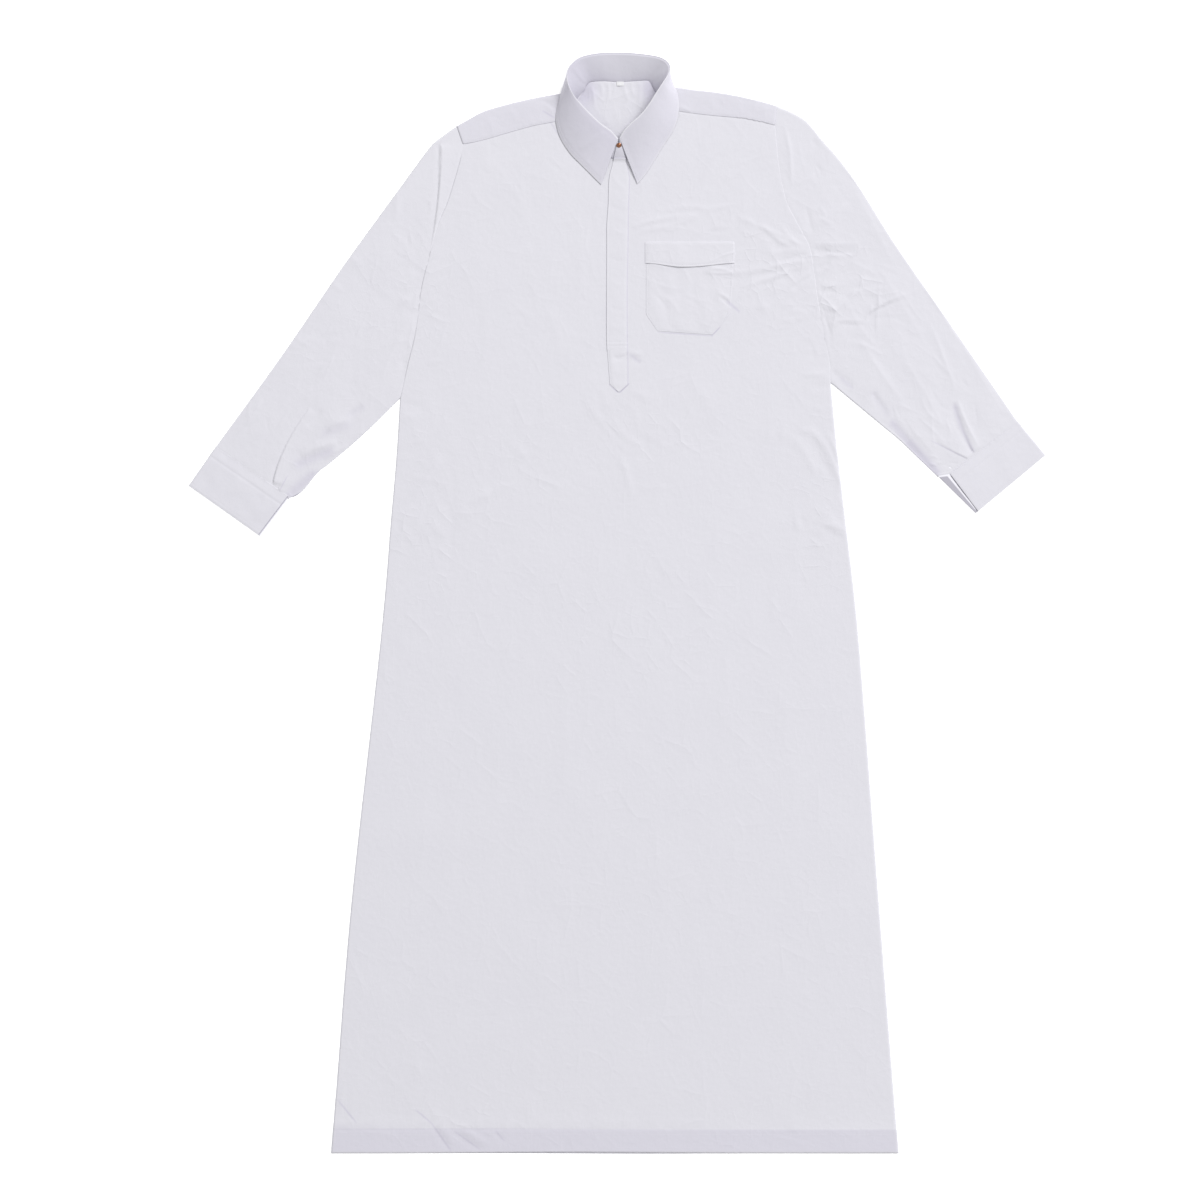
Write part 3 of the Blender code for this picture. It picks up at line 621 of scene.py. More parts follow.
frontCreases = (
    (259, 461, 228, 458, 190, 448, 4, 1.9),        # from the right armhole towards the pocket
    (200, 452, 160, 446, 115, 447, 4.5, 1.5),
    (259, 456, 213, 441, 166, 424, 4, 1.7),
    (257, 452, 236, 446, 214, 434, 3.5, -1.5),
    (258, 467, 238, 466, 214, 459, 3.5, -1.3),
    (258, 474, 236, 476, 212, 472, 3.5, 1.5),
    (254, 446, 206, 445, 173, 438, 3.5, -1.2),
    (260, 440, 246, 432, 238, 422, 3.5, -1.6),
    (262, 446, 248, 438, 232, 424, 3.5, 1.6),
    (193, 512, 217, 491, 243, 480, 4, 1.8),
    (180, 520, 206, 497, 226, 478, 3.5, -1.2),
    (222, 510, 232, 496, 250, 482, 3.5, 1.3),
    (196, 491, 206, 477, 214, 469, 8, 0.8),
    (245, 426, 255, 433, 264, 441, 6, 1.0),
    (193, 412, 198, 402, 204, 388, 7, 0.9),
    (262, 349, 264, 340, 262, 329, 6, -0.8),
    (251, 307, 268, 310, 286, 307, 7, 1.3),        # right underarm
    (262, 294, 275, 294, 287, 296, 5, -1.4),
    (-292, 271, -277, 269, -258, 263, 6, -1.4),    # left underarm
    (-292, 252, -280, 252, -268, 250, 7, 1.0),
    (-224, 213, -223, 113, -226, 16, 5, -0.5),     # long straight mark beside the left seam
    (-238, 199, -253, 176, -278, 140, 9, 1.5),
    (-258, 115, -245, 103, -230, 88, 8, 1.1),
    (-266, 109, -259, 101, -251, 92, 6, 0.7),
    (-212, 132, -205, 124, -197, 114, 7, 0.8),
    (-204, 134, -188, 141, -172, 151, 8, 0.9),
    (-297, 114, -295, 106, -295, 98, 6, -0.7),
    (-254, 86, -249, 78, -243, 70, 7, -0.7),
    (-284, -25, -280, -34, -277, -45, 7, -0.7),
    (247, 237, 277, 218, 302, 160, 5, 2.0),        # below the right underarm
    (259, 228, 274, 200, 292, 164, 5, -1.8),
    (236, 226, 256, 200, 268, 172, 4, 1.4),
    (280, 234, 292, 214, 300, 190, 4, 1.4),
    (271, 132, 290, 111, 310, 95, 9, 1.3),
    (287, 99, 294, 92, 304, 90, 6, -0.9),
    (268, 16, 294, 13, 318, 16, 7, -0.9),
    (200, 219, 205, 229, 210, 238, 7, 0.8),
    (217, 218, 223, 229, 228, 241, 7, 0.8),
    (-41, 269, -14, 240, 4, 200, 4.5, 1.5),        # below the placket
    (-30, 262, -8, 232, 8, 190, 4, -1.1),
    (2, 207, 13, 175, 20, 142, 4.5, 1.4),
    (-6, 250, 12, 226, 34, 214, 4, 1.2),
    (16, 288, 34, 281, 54, 273, 7, 1.0),
    (-143, 221, -133, 207, -120, 194, 9, 0.9),
    (-201, 137, -177, 148, -149, 159, 9, 0.8),
    (20, 508, 58, 519, 110, 524, 4.5, 1.5),        # over the pocket
    (26, 500, 56, 507, 88, 508, 4, 1.3),
    (60, 527, 92, 536, 130, 530, 4, 1.1),
    (16, 338, 24, 331, 32, 323, 5, -2.0),          # dimple where the fly ends
    (15, 331, 23, 337, 34, 336, 4, 1.4),
    (120, 500, 129, 503, 139, 507, 6, -0.7),
    (162, 523, 198, 507, 258, 480, 4, 1.5),
    (151, 394, 159, 404, 169, 412, 6, -0.9),
    (15, 340, 23, 334, 31, 325, 5, 0.8),
    (-199, 7, -158, -49, -131, -130, 22, 0.5),     # long soft ones lower down
    (112, 59, 139, -49, 152, -184, 26, 0.5),
    (-77, -49, -69, -184, -83, -319, 28, 0.45),
    (220, -103, 233, -211, 247, -346, 24, 0.45),
    (-253, -211, -261, -319, -273, -441, 22, 0.45),
    (44, -292, 61, -400, 58, -535, 30, 0.4),
    (-377, -671, -366, -686, -352, -701, 3.4, -2.6),   # at the hem
    (-375, -668, -362, -682, -350, -693, 4, 1.4),
    (-272, -683, -250, -702, -225, -738, 3.6, -2.8),
    (-266, -684, -244, -700, -214, -736, 5, 1.5),
    (-219, -713, -203, -726, -184, -737, 4, -1.8),
    (-210, -709, -192, -719, -172, -733, 5, 1.2),
    (-163, -712, -158, -720, -152, -727, 4, -1.4),
    (-272, -616, -268, -628, -267, -641, 5, 1.2),
    (-268, -640, -269, -645, -271, -649, 4, -1.2),
    (-152, -675, -122, -684, -93, -697, 4.5, 1.9),
    (-336, -701, -310, -700, -281, -698, 2.4, -0.9),
    (-338, -664, -328, -663, -318, -664, 3, -0.8),
    (-199, -695, -188, -703, -180, -711, 7, 0.5),
    (-158, -692, -147, -701, -141, -709, 7, 0.5),
    (-112, -696, -104, -703, -96, -709, 7, 0.5),
    (-69, -693, -60, -701, -53, -708, 7, 0.5),
    (98, -686, 108, -696, 115, -705, 7, 0.4),
    (220, -684, 231, -693, 236, -703, 7, 0.4),
    (-158, 572, -131, 545, -118, 504, 14, 0.5),    # left chest
    (-104, 410, -83, 369, -77, 315, 18, 0.5),
    (-185, 437, -177, 369, -188, 302, 18, 0.6),
    (98, 302, 128, 261, 133, 207, 18, 0.5),
    (-57, 531, -47, 464, -53, 396, 14, 0.4),
)

leftCreases = (
    (-297, 402, -282, 410, -265, 418, 7, 1.2),
    (-288, 395, -278, 394, -268, 391, 5, -0.8),
    (-293, 320, -286, 325, -278, 330, 7, -1.2),
    (-299, 561, -297, 538, -301, 515, 10, 1.0),
    (-361, 469, -353, 462, -342, 456, 7, 0.9),
    (-386, 435, -378, 427, -367, 421, 7, 0.9),
    (-443, 345, -424, 354, -401, 361, 9, 1.0),
    (-378, 217, -402, 211, -427, 199, 13, 2.2),    # soft folds above the underside
    (-434, 186, -410, 196, -384, 206, 11, -1.2),
    (-360, 248, -376, 244, -394, 237, 12, 1.5),
    (-361, 253, -352, 260, -343, 266, 5, -1.8),
    (-441, 147, -428, 158, -409, 175, 8, -2.6),
    (-398, 196, -380, 205, -362, 214, 7, 1.4),
    (-420, 240, -408, 250, -400, 262, 6, -1.2),
    (-353, 272, -382, 240, -412, 205, 9, 1.4),
    (-406, 218, -396, 226, -388, 236, 5, -1.6),
    (-266, 585, -293, 545, -331, 493, 16, 0.7),
    (-320, 410, -361, 369, -404, 304, 16, 0.8),
    (-428, 302, -455, 261, -493, 213, 13, 0.8),
    (-367, 342, -398, 302, -434, 259, 10, 0.7),
    (-259, 410, -296, 356, -320, 295, 14, 0.9),
    (-479, 275, -498, 248, -520, 213, 10, 0.6),
)
leftPleats = (
    (-239, 622, -242, 545, -256, 455, 14, 1.7, 1.0, 0.3),
    (-414, 266, -448, 211, -465, 160, 11, 1.8, 0.3, 1.0),
    (-447, 172, -453, 163, -459, 152, 7, 0.7, 0.3, 1.0),
)
rightCreases = (
    (224, 650, 233, 611, 235, 564, 6, 1.3),        # beside the armhole seam
    (263, 469, 271, 410, 287, 321, 5, 0.9),
    (265, 478, 275, 476, 288, 476, 6, -2.2),
    (284, 476, 300, 474, 326, 477, 2.6, -1.4),
    (263, 487, 294, 485, 330, 486, 4, 1.4),
    (267, 453, 277, 455, 287, 461, 4, -1.6),
    (264, 447, 280, 451, 294, 461, 3.5, 1.3),
    (272, 424, 282, 421, 296, 423, 5, -2.0),
    (296, 423, 304, 419, 314, 422, 6, -1.0),
    (271, 431, 290, 430, 312, 431, 3.5, 1.3),
    (268, 466, 290, 470, 312, 466, 3.5, 1.1),
    (278, 392, 283, 377, 290, 361, 6, -0.9),
    (296, 378, 314, 377, 336, 376, 3, -1.2),
    (294, 383, 315, 382, 338, 382, 3.5, 0.9),
    (338, 384, 352, 398, 392, 413, 4, -1.7),
    (340, 392, 360, 404, 396, 420, 4.5, 1.5),
    (334, 384, 340, 392, 344, 404, 4, 1.2),
    (275, 407, 281, 400, 300, 397, 3, 1.0),
    (274, 399, 283, 394, 298, 392, 3, -0.9),
    (255, 535, 259, 520, 262, 504, 6, -1.3),
    (268, 593, 272, 587, 278, 578, 7, -1.0),
    (263, 627, 267, 622, 271, 614, 6, -1.0),
    (286, 313, 301, 306, 318, 294, 7, -1.5),
    (263, 506, 287, 523, 312, 542, 9, 1.1),
    (422, 379, 440, 333, 457, 286, 9, 1.1),
    (302, 304, 309, 299, 317, 291, 6, -2.4),       # troughs above the underside strip
    (345, 285, 352, 272, 365, 254, 7, -2.0),
    (374, 242, 394, 214, 429, 177, 9, -3.6),
    (370, 229, 388, 207, 414, 182, 6, 0.4),
    (432, 196, 410, 222, 390, 246, 12, 0.8),
    (453, 272, 463, 240, 481, 202, 8, -2.6),       # valley of the first pleat
    (459, 276, 471, 244, 490, 208, 7, 1.6),
    (314, 572, 339, 524, 371, 461, 14, 0.8),
    (348, 461, 389, 396, 416, 349, 13, 0.8),
    (382, 342, 416, 281, 443, 234, 12, 0.8),
    (328, 356, 355, 313, 389, 268, 12, 1.0),
    (470, 342, 497, 295, 524, 254, 11, 0.7),
    (301, 423, 331, 369, 355, 342, 10, 0.7),
)
leftHollows = (
    (-441, 147, -411, 173, 7, 0.09),
    (-430, 188, -388, 205, 6.5, 0.07),
    (-441, 141.5, -422, 151.5, 1.5, 0.5),
    (-422, 151.5, -403, 177, 1.5, 0.4),
    (-394, 230, -366, 240, 7, 0.04),
    (-360, 255, -344, 264, 4.5, 0.035),
)
rightHollows = (
    (372, 243, 394, 216, 5, 0.10),
    (394, 216, 430, 177, 6, 0.16),
    (303, 303, 316, 292, 3, 0.06),
    (346, 283, 364, 256, 6.5, 0.03),
    (456, 266, 464, 238, 3.5, 0.09),
    (464, 238, 480, 206, 2.5, 0.10),
)
rightPleats = (
    (454, 268, 464, 236, 482, 202, 12, 0.8, 0.2, 1.0),
    (430, 219, 450, 207, 474, 195, 8, 0.7, 0.3, 1.0),
)


# strewn creases: middle x y, reach x y, angle, its spread, count, length, half width, height
frontZones = (
    (205, 452, 55, 40, 8, 22, 30, 34, 3.2, 0.34),      # between pocket and right armhole
    (100, 515, 80, 26, 12, 18, 16, 36, 3.4, 0.26),
    (30, 235, 75, 50, -55, 28, 26, 36, 3.2, 0.30),     # below the placket
    (-120, 190, 75, 55, 30, 40, 18, 32, 3.2, 0.26),
    (-252, 110, 36, 110, -45, 35, 26, 30, 3.0, 0.34),
    (268, 140, 36, 110, -50, 30, 26, 32, 3.2, 0.38),
    (-255, 410, 22, 80, 20, 35, 16, 26, 3.0, 0.30),
    (250, 400, 22, 75, -15, 30, 18, 26, 3.0, 0.34),
    (-20, 40, 210, 170, -40, 60, 34, 40, 3.8, 0.20),
    (0, -380, 260, 240, -60, 60, 40, 46, 4.2, 0.17),
    (-170, -700, 170, 22, -42, 25, 26, 26, 2.8, 0.30),
    (190, -705, 150, 18, -35, 30, 16, 24, 2.8, 0.24),
    (-150, 590, 55, 40, -45, 35, 12, 30, 3.4, 0.22),
    (140, 590, 55, 40, 35, 35, 12, 30, 3.4, 0.22),
    (-90, 430, 80, 110, 60, 60, 18, 34, 3.6, 0.18),
)
allFrontCreases = frontCreases + scatterCreases(frontZones, 5)
leftZones = (
    (-290, 460, 26, 80, -50, 30, 16, 30, 3.0, 0.34),
    (-400, 380, 45, 60, 38, 35, 20, 30, 3.2, 0.28),
    (-420, 190, 35, 30, 50, 20, 8, 28, 3.4, 0.12),
    (-470, 260, 40, 40, 55, 40, 12, 30, 3.2, 0.26),
    (-275, 350, 20, 50, 5, 25, 12, 24, 3.0, 0.36),
)
rightZones = (
    (290, 430, 24, 70, 3, 22, 20, 34, 3.0, 0.29),
    (345, 400, 40, 60, 20, 30, 16, 34, 3.2, 0.27),
    (380, 250, 45, 40, -45, 20, 16, 36, 3.4, 0.18),
    (440, 250, 30, 40, -60, 20, 9, 34, 3.6, 0.22),
    (290, 560, 30, 50, -60, 30, 12, 28, 3.2, 0.26),
    (437, 191, 13, 8, -8, 20, 10, 17, 2.4, 0.32),
)


# front

front = {"side": 0.3, "armRidge": 0.04, "seamDip": 0.06, "tuckUnder": 6.0, "hemToArm": 1027.0, "cut": (0.80, 1.47)}
sewing = {"pitch": 2.7, "length": 2.1, "halfWidth": 0.24, "halfHeight": 0.2, "lift": 0.24}


def settle(z, floor):
    # cloth can't sink into what lies below it, and flattens softly onto it
    return floor + 0.12 * np.logaddexp(0, (z - floor) / 0.12)


def frontHeight(x, y):
    # middle of the front cloth away from its own edges
    up = y - cloth["hemEdge"]
    rise = cloth["hemRise"] * (1 - ease((up - cloth["hemDepth"] + 3) / 12))
    z = cloth["frontHeight"] + rise + creaseHeight(allFrontCreases, x, y)
    z += ripple(x, y, 110, cloth["ripple"], 3) + ripple(x, y, 30, 0.05, 4) + ripple(x, y, 11, 0.012, 5)
    stitchLine = up - cloth["hemDepth"] - 1.5 * x / 380 + 1.5
    wave = 0.8 + 0.5 * np.sin(x / 4.1) * np.sin(x / 17.0 + 1)
    z += -0.4 * bump(stitchLine, 1.5) * wave + 0.28 * bump(stitchLine - 7, 4.5) * wave
    return settle(z, cloth["lowest"] + rise)


def frontTopAt(x, y):
    return frontHeight(x, y) + cloth["thickness"] / 2


def bodyPoint(u, v, arms, top):
    # v runs 0 to 1 from the hem to the underarm and 1 to 2 from there to the top edge
    low, high = np.clip(v, 0, 1), np.clip(v - 1, 0, 1)
    left, right = (alongCurve(side, low) for side in (sideLeft, sideRight))
    above = v > 1
    left[above], right[above] = alongCurve(arms[0], high[above]), alongCurve(arms[1], high[above])
    place = left + (right - left) * u[:, None]
    edge = chain(top, u)
    chord = np.array(top[0][0]) + (np.array(top[-1][-1]) - np.array(top[0][0])) * u[:, None]
    place += (edge - chord) * (high ** 2)[:, None]
    return place[:, 0], place[:, 1], np.linalg.norm(right - left, axis=1)


def turnHem(x, y, z, u, v, drop):
    # v below 0 turns the cloth under and back up inside, narrowing with the sides
    depth = np.clip(-v, 0, 1) * (cloth["hemDepth"] - 2)
    inward = (0.5 - u) * (2.6 * ease(depth / 3) + 0.16 * depth)
    turned = v < 0
    return np.where(turned, x + inward, x), np.where(turned, y + depth, y), z + drop * ease(depth / 1.0)


def placeFront(u, v):
    x, y, span = bodyPoint(u, v, frontArms, frontTop)
    y = y + 1.4 * bump(x + 70, 150) * np.clip(1 - np.maximum(v, 0) * 8, 0, 1)
    edge = np.minimum(u, 1 - u) * span
    z = frontHeight(x, y)
    nicks = 0.16 * np.sin(y / 5.3 + 2 * np.sin(y / 31.0)) * np.exp(-edge / 7)
    z -= np.where(v < 1, (front["side"] + nicks) * bump(edge, 1.7), 0)
    ridge = front["armRidge"] * bump(edge - 6, 4) - front["seamDip"] * bump(edge, 1.8)
    z += np.where(v < 1, 0, ridge * ease((v - 1) * 6))
    z -= 0.5 * bump(y - cloth["hemEdge"], 1.1) * (v >= 0)
    x, y, z = turnHem(x, y, z, u, v, 0.0)
    z = np.where(v < 0, frontHeight(x, y) - 0.5, z)
    beyond = np.clip(v - 2, 0, 1)                              # runs on below the yoke and the collar
    seams = ease((shareAt(frontTop, 1) - u) / 0.02) + ease((u - shareAt(frontTop, 2)) / 0.02)
    toNeck = np.hypot(x, y - 660)
    x = x + beyond * (1 - seams) * 1.5 * -x / toNeck
    y = y + beyond * (seams * front["tuckUnder"] + (1 - seams) * 1.5 * (660 - y) / toNeck)
    z = z - 0.2 * ease((v - 1.985) * 60)
    hemLine = cloth["hemEdge"] + cloth["hemDepth"] - 1.5 - 1.5 * x / 380
    # darker below the hem's stitch line; a painted highlight along the side edges and along the hem edge
    shadeAndTone = 1 - 0.075 * (1 - ease((y - hemLine + 0.8) / 1.6))
    shadeAndTone += np.where(v < 1, 0.1 * bump(edge, 1.6), 0) + 0.1 * bump(y - cloth["hemEdge"], 1.6)
    return x, y, z, x, y, np.where(v < 0, 0.93, shadeAndTone)


def buildFront():
    across = spans((0, 0.015, 5), (0.015, 0.985, 160), (0.985, 1, 5))
    up = spans((-1, -0.1, 3), (-0.1, 0, 4), (0, 0.004, 3), (0.004, 0.045, 16), (0.045, 0.78, 72), (0.78, 1, 54),
               (1, 1.98, 118), (1.98, 2, 5), (2, 3, 3))
    mesh = sheetMesh("frontPanel", across, up, placeFront, frontShirting)
    piece = addPiece("frontPanel", mesh, "shirting", ["front_panel"], cloth["thickness"])
    hem = np.linspace(0.006, 0.994, 900)
    rows = sewRow(placeFront, hem, np.full(hem.shape, (cloth["hemDepth"] - 1.5) / front["hemToArm"]), 0.14)
    return rows


def sewRow(place, u, v, lift):
    # start and end of each stitch along a path given in a sheet's own u, v
    x, y, z = place(u, v)[:3]
    at = np.r_[0, np.cumsum(np.hypot(np.diff(x), np.diff(y)))]
    length = sewing["length"]
    starts = np.arange(0.4, at[-1] - length, sewing["pitch"])
    ends = [np.column_stack([np.interp(s, at, line) for line in (x, y, z + lift)])
            for s in (starts, starts + length)]
    return list(zip(*ends))


def buildStitches(name, rows, slot):
    # small lens shapes laid end to end, sunk halfway into the cloth
    sewn = bmesh.new()
    for start, end in rows:
        way = Vector(end) - Vector(start)
        size = Matrix.Diagonal((sewing["halfWidth"], sewing["halfHeight"], way.length / 2, 1))
        turn = way.to_track_quat("Z", "Y").to_matrix().to_4x4()
        place = Matrix.Translation((Vector(start) + Vector(end)) / 2 * mm) @ turn
        place = place @ Matrix.Diagonal((mm, mm, mm, 1)) @ size
        bmesh.ops.create_uvsphere(sewn, u_segments=6, v_segments=4, radius=1.0, matrix=place)
    for face in sewn.faces:
        face.smooth = True
    mesh = bpy.data.meshes.new(name)
    sewn.to_mesh(mesh)
    sewn.free()
    mesh.materials.append(thread)
    return addPiece(name, mesh, slot)


frontSewing = buildFront()
print("front laid")


# back and yoke

backSeam = ((armLeft[8], armRight[8]),)
backArms = (armLeft[:9], armRight[:9])


def placeBack(u, v):
    x, y, span = bodyPoint(u, v, backArms, backSeam)
    y = y - 0.8 * bump(x - 40, 120) * np.clip(1 - np.maximum(v, 0) * 8, 0, 1)
    z = np.full(x.shape, cloth["backHeight"])
    x, y, z = turnHem(x, y, z, u, v, 0.46)
    return x, y, z, x, y, 1 - 0.06 * (1 - ease((y - cloth["hemEdge"] - 4) / 4))


def buildBack():
    up = spans((-1, -0.1, 2), (-0.1, 0, 4), (0, 0.02, 4), (0.02, 1, 60), (1, 2, 24))
    mesh = sheetMesh("backPanel", spans((0, 0.01, 2), (0.01, 0.99, 50), (0.99, 1, 2)), up, placeBack, shirting)
    piece = addPiece("backPanel", mesh, "shirting", ["back_panel"], cloth["thickness"])


yoke = {"foldRadius": 0.5, "overlap": 1.2, "neckShade": 0.17, "flapCount": 64, "cut": (0.46, 0.19)}
yokeCreases = (
    (-108, 684, -96, 676, -82, 667, 5, -0.8),      # short creases that run to the collar
    (-104, 690, -92, 684, -80, 676, 5, 0.9),
    (-98, 676, -88, 666, -80, 656, 5, 0.8),
    (84, 664, 90, 659, 94, 650, 4, -0.8),
    (80, 672, 92, 668, 100, 660, 4, 0.7),
    (-150, 668, -140, 660, -136, 646, 8, 0.5),
    (-178, 655, -170, 648, -168, 636, 7, 0.5),
    (120, 682, 128, 674, 130, 664, 8, 0.5),
    (160, 678, 166, 668, 168, 660, 8, 0.4),
    (196, 672, 200, 664, 199, 654, 6, 0.5),
)
neckPuckers = (
    (-36, 700, -32, 688, -30, 668, 5, 1.3),        # inside of the back, below the neck seam
    (-24, 703, -20, 694, -21, 684, 4, 1.0),
    (-13, 703, -11, 693, -13, 678, 4, 1.1),
    (-2, 702, -3, 696, -6, 686, 3, 0.8),
    (9, 703, 11, 691, 16, 676, 5, 1.1),
    (20, 703, 20, 695, 24, 684, 4, 0.9),
    (30, 703, 31, 691, 28, 670, 5, 1.2),
    (42, 700, 39, 688, 32, 666, 5, 1.2),
    (-6, 672, 0, 656, 4, 640, 8, 0.6),
    (-22, 664, -14, 652, -8, 642, 7, 0.5),
    (14, 664, 10, 652, 6, 644, 6, 0.4),
)


def placeYokeBack(u, v):
    # v runs 0 to 1 from the back seam to the shoulder fold and the neck
    left, right = alongCurve(armLeft[8:], v), alongCurve(armRight[8:], v)
    place = left + (right - left) * u[:, None]
    chord = np.array(foldLeft[0]) + (np.array(foldRight[0]) - np.array(foldLeft[0])) * u[:, None]
    place += (chain(backTop, u) - chord) * v[:, None]
    x, y = place.T
    under = bump(np.hypot(x, (y - 706) * 0.9), 48)              # drawn up into the neck seam
    seam = 0.5 * ease((y - 694) / 10) * (np.abs(x) < 60)
    z = cloth["backHeight"] + creaseHeight(neckPuckers, x, y) + 0.3 * under + seam
    corners = bump(np.hypot((x + 42) / 14, (y - 692) / 17), 1), bump(np.hypot((x - 46) / 12, (y - 694) / 15), 1)
    shade = yoke["neckShade"] * corners[0] + yoke["neckShade"] * corners[1]
    return x, y, settle(z, cloth["backHeight"]), x, y, 1.0 - shade


def placeFlap(side):
    fold, seam = ((foldLeft, seamLeft), (foldRight, seamRight))[side]

    def place(u, v):
        # v runs 0 to 1 round the fold and 1 to 2 over the flap down to its seam
        start, end = alongCurve(fold, u), alongCurve(seam, u)
        way = end - start
        size = np.linalg.norm(way, axis=1)
        way /= size[:, None]
        turn = np.clip(v, 0, 1) * math.pi
        along = np.where(v <= 1, -np.sin(turn) * yoke["foldRadius"], (v - 1) * (size + yoke["overlap"]))
        x, y = (start + way * (along + yoke["foldRadius"])[:, None]).T
        on = v > 1
        toSeam = size + yoke["overlap"] - along
        rest = np.where(on, frontHeight(x, y) + 0.3, cloth["frontHeight"] + 0.3)
        loft = creaseHeight(yokeCreases, x, y) + ripple(x, y, 40, 0.1, 11) + 0.2 * ease(along / 8)
        rest = rest + np.where(on, loft * ease(along / 6) * ease(toSeam / 3) - 0.14 * bump(toSeam - 2, 1.0), 0)
        z = cloth["backHeight"] + (rest - cloth["backHeight"]) * (0.5 - 0.5 * np.cos(turn))
        endGap = np.minimum(u, 1 - u) * lengthOf(fold)
        z -= np.where(on & (u < 0.5), 0.2 * bump(endGap, 2.0), 0)
        return x, y, z, x, y, 0.958

    return place


def buildYoke():
    at = [shareAt(backTop, k) for k in (1, 2)]
    flapCount = yoke["flapCount"]
    across = spans((0, at[0], flapCount), (at[0], at[1], 72), (at[1], 1, flapCount))
    parts = [sheetMesh("yokeBack", across, spans((0, 0.4, 8), (0.4, 1, 46)), placeYokeBack, yokeShirting)]
    over = spans((0, 1, 6), (1, 1.9, 20), (1.9, 2, 5))
    flaps = [placeFlap(0), placeFlap(1)]
    parts += [sheetMesh("flap", spans((0, 1, flapCount)), over, place, yokeShirting) for place in flaps]
    mesh = joinMeshes("backYoke", parts, 0.0006)
    piece = addPiece("backYoke", mesh, "shirting", ["back_yoke"], cloth["thickness"])
    along = np.linspace(0.01, 0.97, 300)
    return [row for place in flaps for row in sewRow(place, along, np.full(along.shape, 1.94), 0.24)]


buildBack()
yokeSewing = buildYoke()
print("back and yoke laid")


# sleeves

sleeve = {"edge": 3.5, "headRidge": (0.04, 0.06), "capEnd": (7.4, 0.878), "lap": 2.5, "girth": 330.0,
          "cut": (0.37, 0.55)}
outerLeft = ((-217, 644), (-236, 630), (-253, 615), (-295, 558), (-369, 456), (-452, 335), (-541, 212))
underLeft = ((-293, 277), (-344, 227), (-386, 191), (-404, 177), (-421, 156), (-433, 146), (-442, 143))
outerRight = ((216, 671), (239, 661), (256, 650), (277, 625), (299, 600), (328, 560), (375, 485),
              (440, 391), (540, 246))
underRight = ((288, 298), (353, 244), (382, 220), (407, 196), (431, 173))


def placeSleeve(side, creases, pleats, hollows):
    outer, under = ((outerLeft, underLeft), (outerRight, underRight))[side]
    head = (armLeft, armRight)[side][::-1]
    outward = (-1, 1)[side]
    upperLength = 0.5 * (lengthOf(outer) + lengthOf(under))

    def place(u, v):
        # u runs 0 to 1 over the upper layer from the fold to the seam and 1 to 2 back underneath
        across = np.where(u <= 1, u, 2 - u)
        down = np.clip(v, 0, 1)
        start, end = alongCurve(outer, down), alongCurve(under, down)
        chord = np.array(head[0]) + (np.array(head[-1]) - np.array(head[0])) * across[:, None]
        spot = start + (end - start) * across[:, None]
        spot += (alongCurve(head, across) - chord) * ((1 - down) ** 1.5)[:, None]
        way = (np.array(outer[-1]) - np.array(outer[0])) / lengthOf((outer[0], outer[-1]))
        past = np.where(v < 0, v * sleeve["lap"], np.where(v > 1, (v - 1) * sleeve["lap"], 0))
        width = np.linalg.norm(end - start, axis=1)
        edge = np.minimum(across, 1 - across) * width
        if side == 1:                                           # the open cuff's layers end apart
            reach, at = sleeve["capEnd"]
            longer = reach * np.minimum(across / at, (1 - across) / (1 - at)) * ease((down - 0.85) / 0.15)
            past = past + np.where((u <= 1) & (v >= 0), longer, 0)
        x = spot[:, 0] + np.where(v < 0, outward * past, way[0] * past)
        y = spot[:, 1] + np.where(v < 0, 0, way[1] * past)
        along = down * upperLength
        rounding = np.sqrt(np.clip(1 - (1 - np.clip(edge / sleeve["edge"], 0, 1)) ** 2, 0, 1))
        calm = ease(along / 12) * ease((upperLength - along) / 5)
        loft = 0.2 * ease(edge / 30) * ease(along / 40) + creaseHeight(creases, x, y)
        loft += ripple(x, y, 60, 0.2, 20 + side) + ripple(x, y, 22, 0.05, 24 + side)
        ridge = sleeve["headRidge"][side] * bump(along - 6, 4) - 0.05 * bump(along, 1.8)
        fold = pleatHeight(pleats, x, y) * ease(along / 3) * ease((upperLength - along + 2) / 3)
        z = cloth["frontHeight"] + (loft * calm + ridge) * ease(edge / 5) + fold * ease(edge / 4)
        z = settle(z, cloth["lowest"])
        z = cloth["lowest"] - 0.1 + (z - cloth["lowest"] + 0.1) * rounding
        z -= 0.45 * np.clip(-v, 0, 1) + 0.5 * np.clip(v - 1, 0, 1)
        lower = cloth["backHeight"] + 0.39 * (1 - rounding)
        # painted shade in the hollows of folds, and a painted highlight along the sleeve's edges
        shadeAndTone = 1 - np.where(u <= 1, shadeAt(hollows, x, y), 0) + 0.05 * bump(edge, 1.3)
        return x, y, np.where(u <= 1, z, lower), np.where(u <= 1, across, -across) * sleeve["girth"], along, shadeAndTone

    return place


def buildSleeve(name, node, side, creases, pleats, hollows):
    across = spans((0, 0.02, 6), (0.02, 0.98, 106), (0.98, 1.0, 6), (1.0, 1.04, 5), (1.04, 1.96, 14), (1.96, 2, 5))
    down = spans((-1, 0, 2), (0, 0.06, 16), (0.06, 0.94, 190), (0.94, 1, 18), (1, 2, 2))
    mesh = sheetMesh(name, across, down, placeSleeve(side, creases, pleats, hollows), sleeveShirting, closed=True)
    piece = addPiece(name, mesh, "shirting", [node], cloth["thickness"])


buildSleeve("sleeveLeft", "sleeve_left", 0, leftCreases + scatterCreases(leftZones, 6), leftPleats, leftHollows)
buildSleeve("sleeveRight", "sleeve_right", 1, rightCreases + scatterCreases(rightZones, 8), rightPleats, rightHollows)
print("sleeves laid")


# cuffs

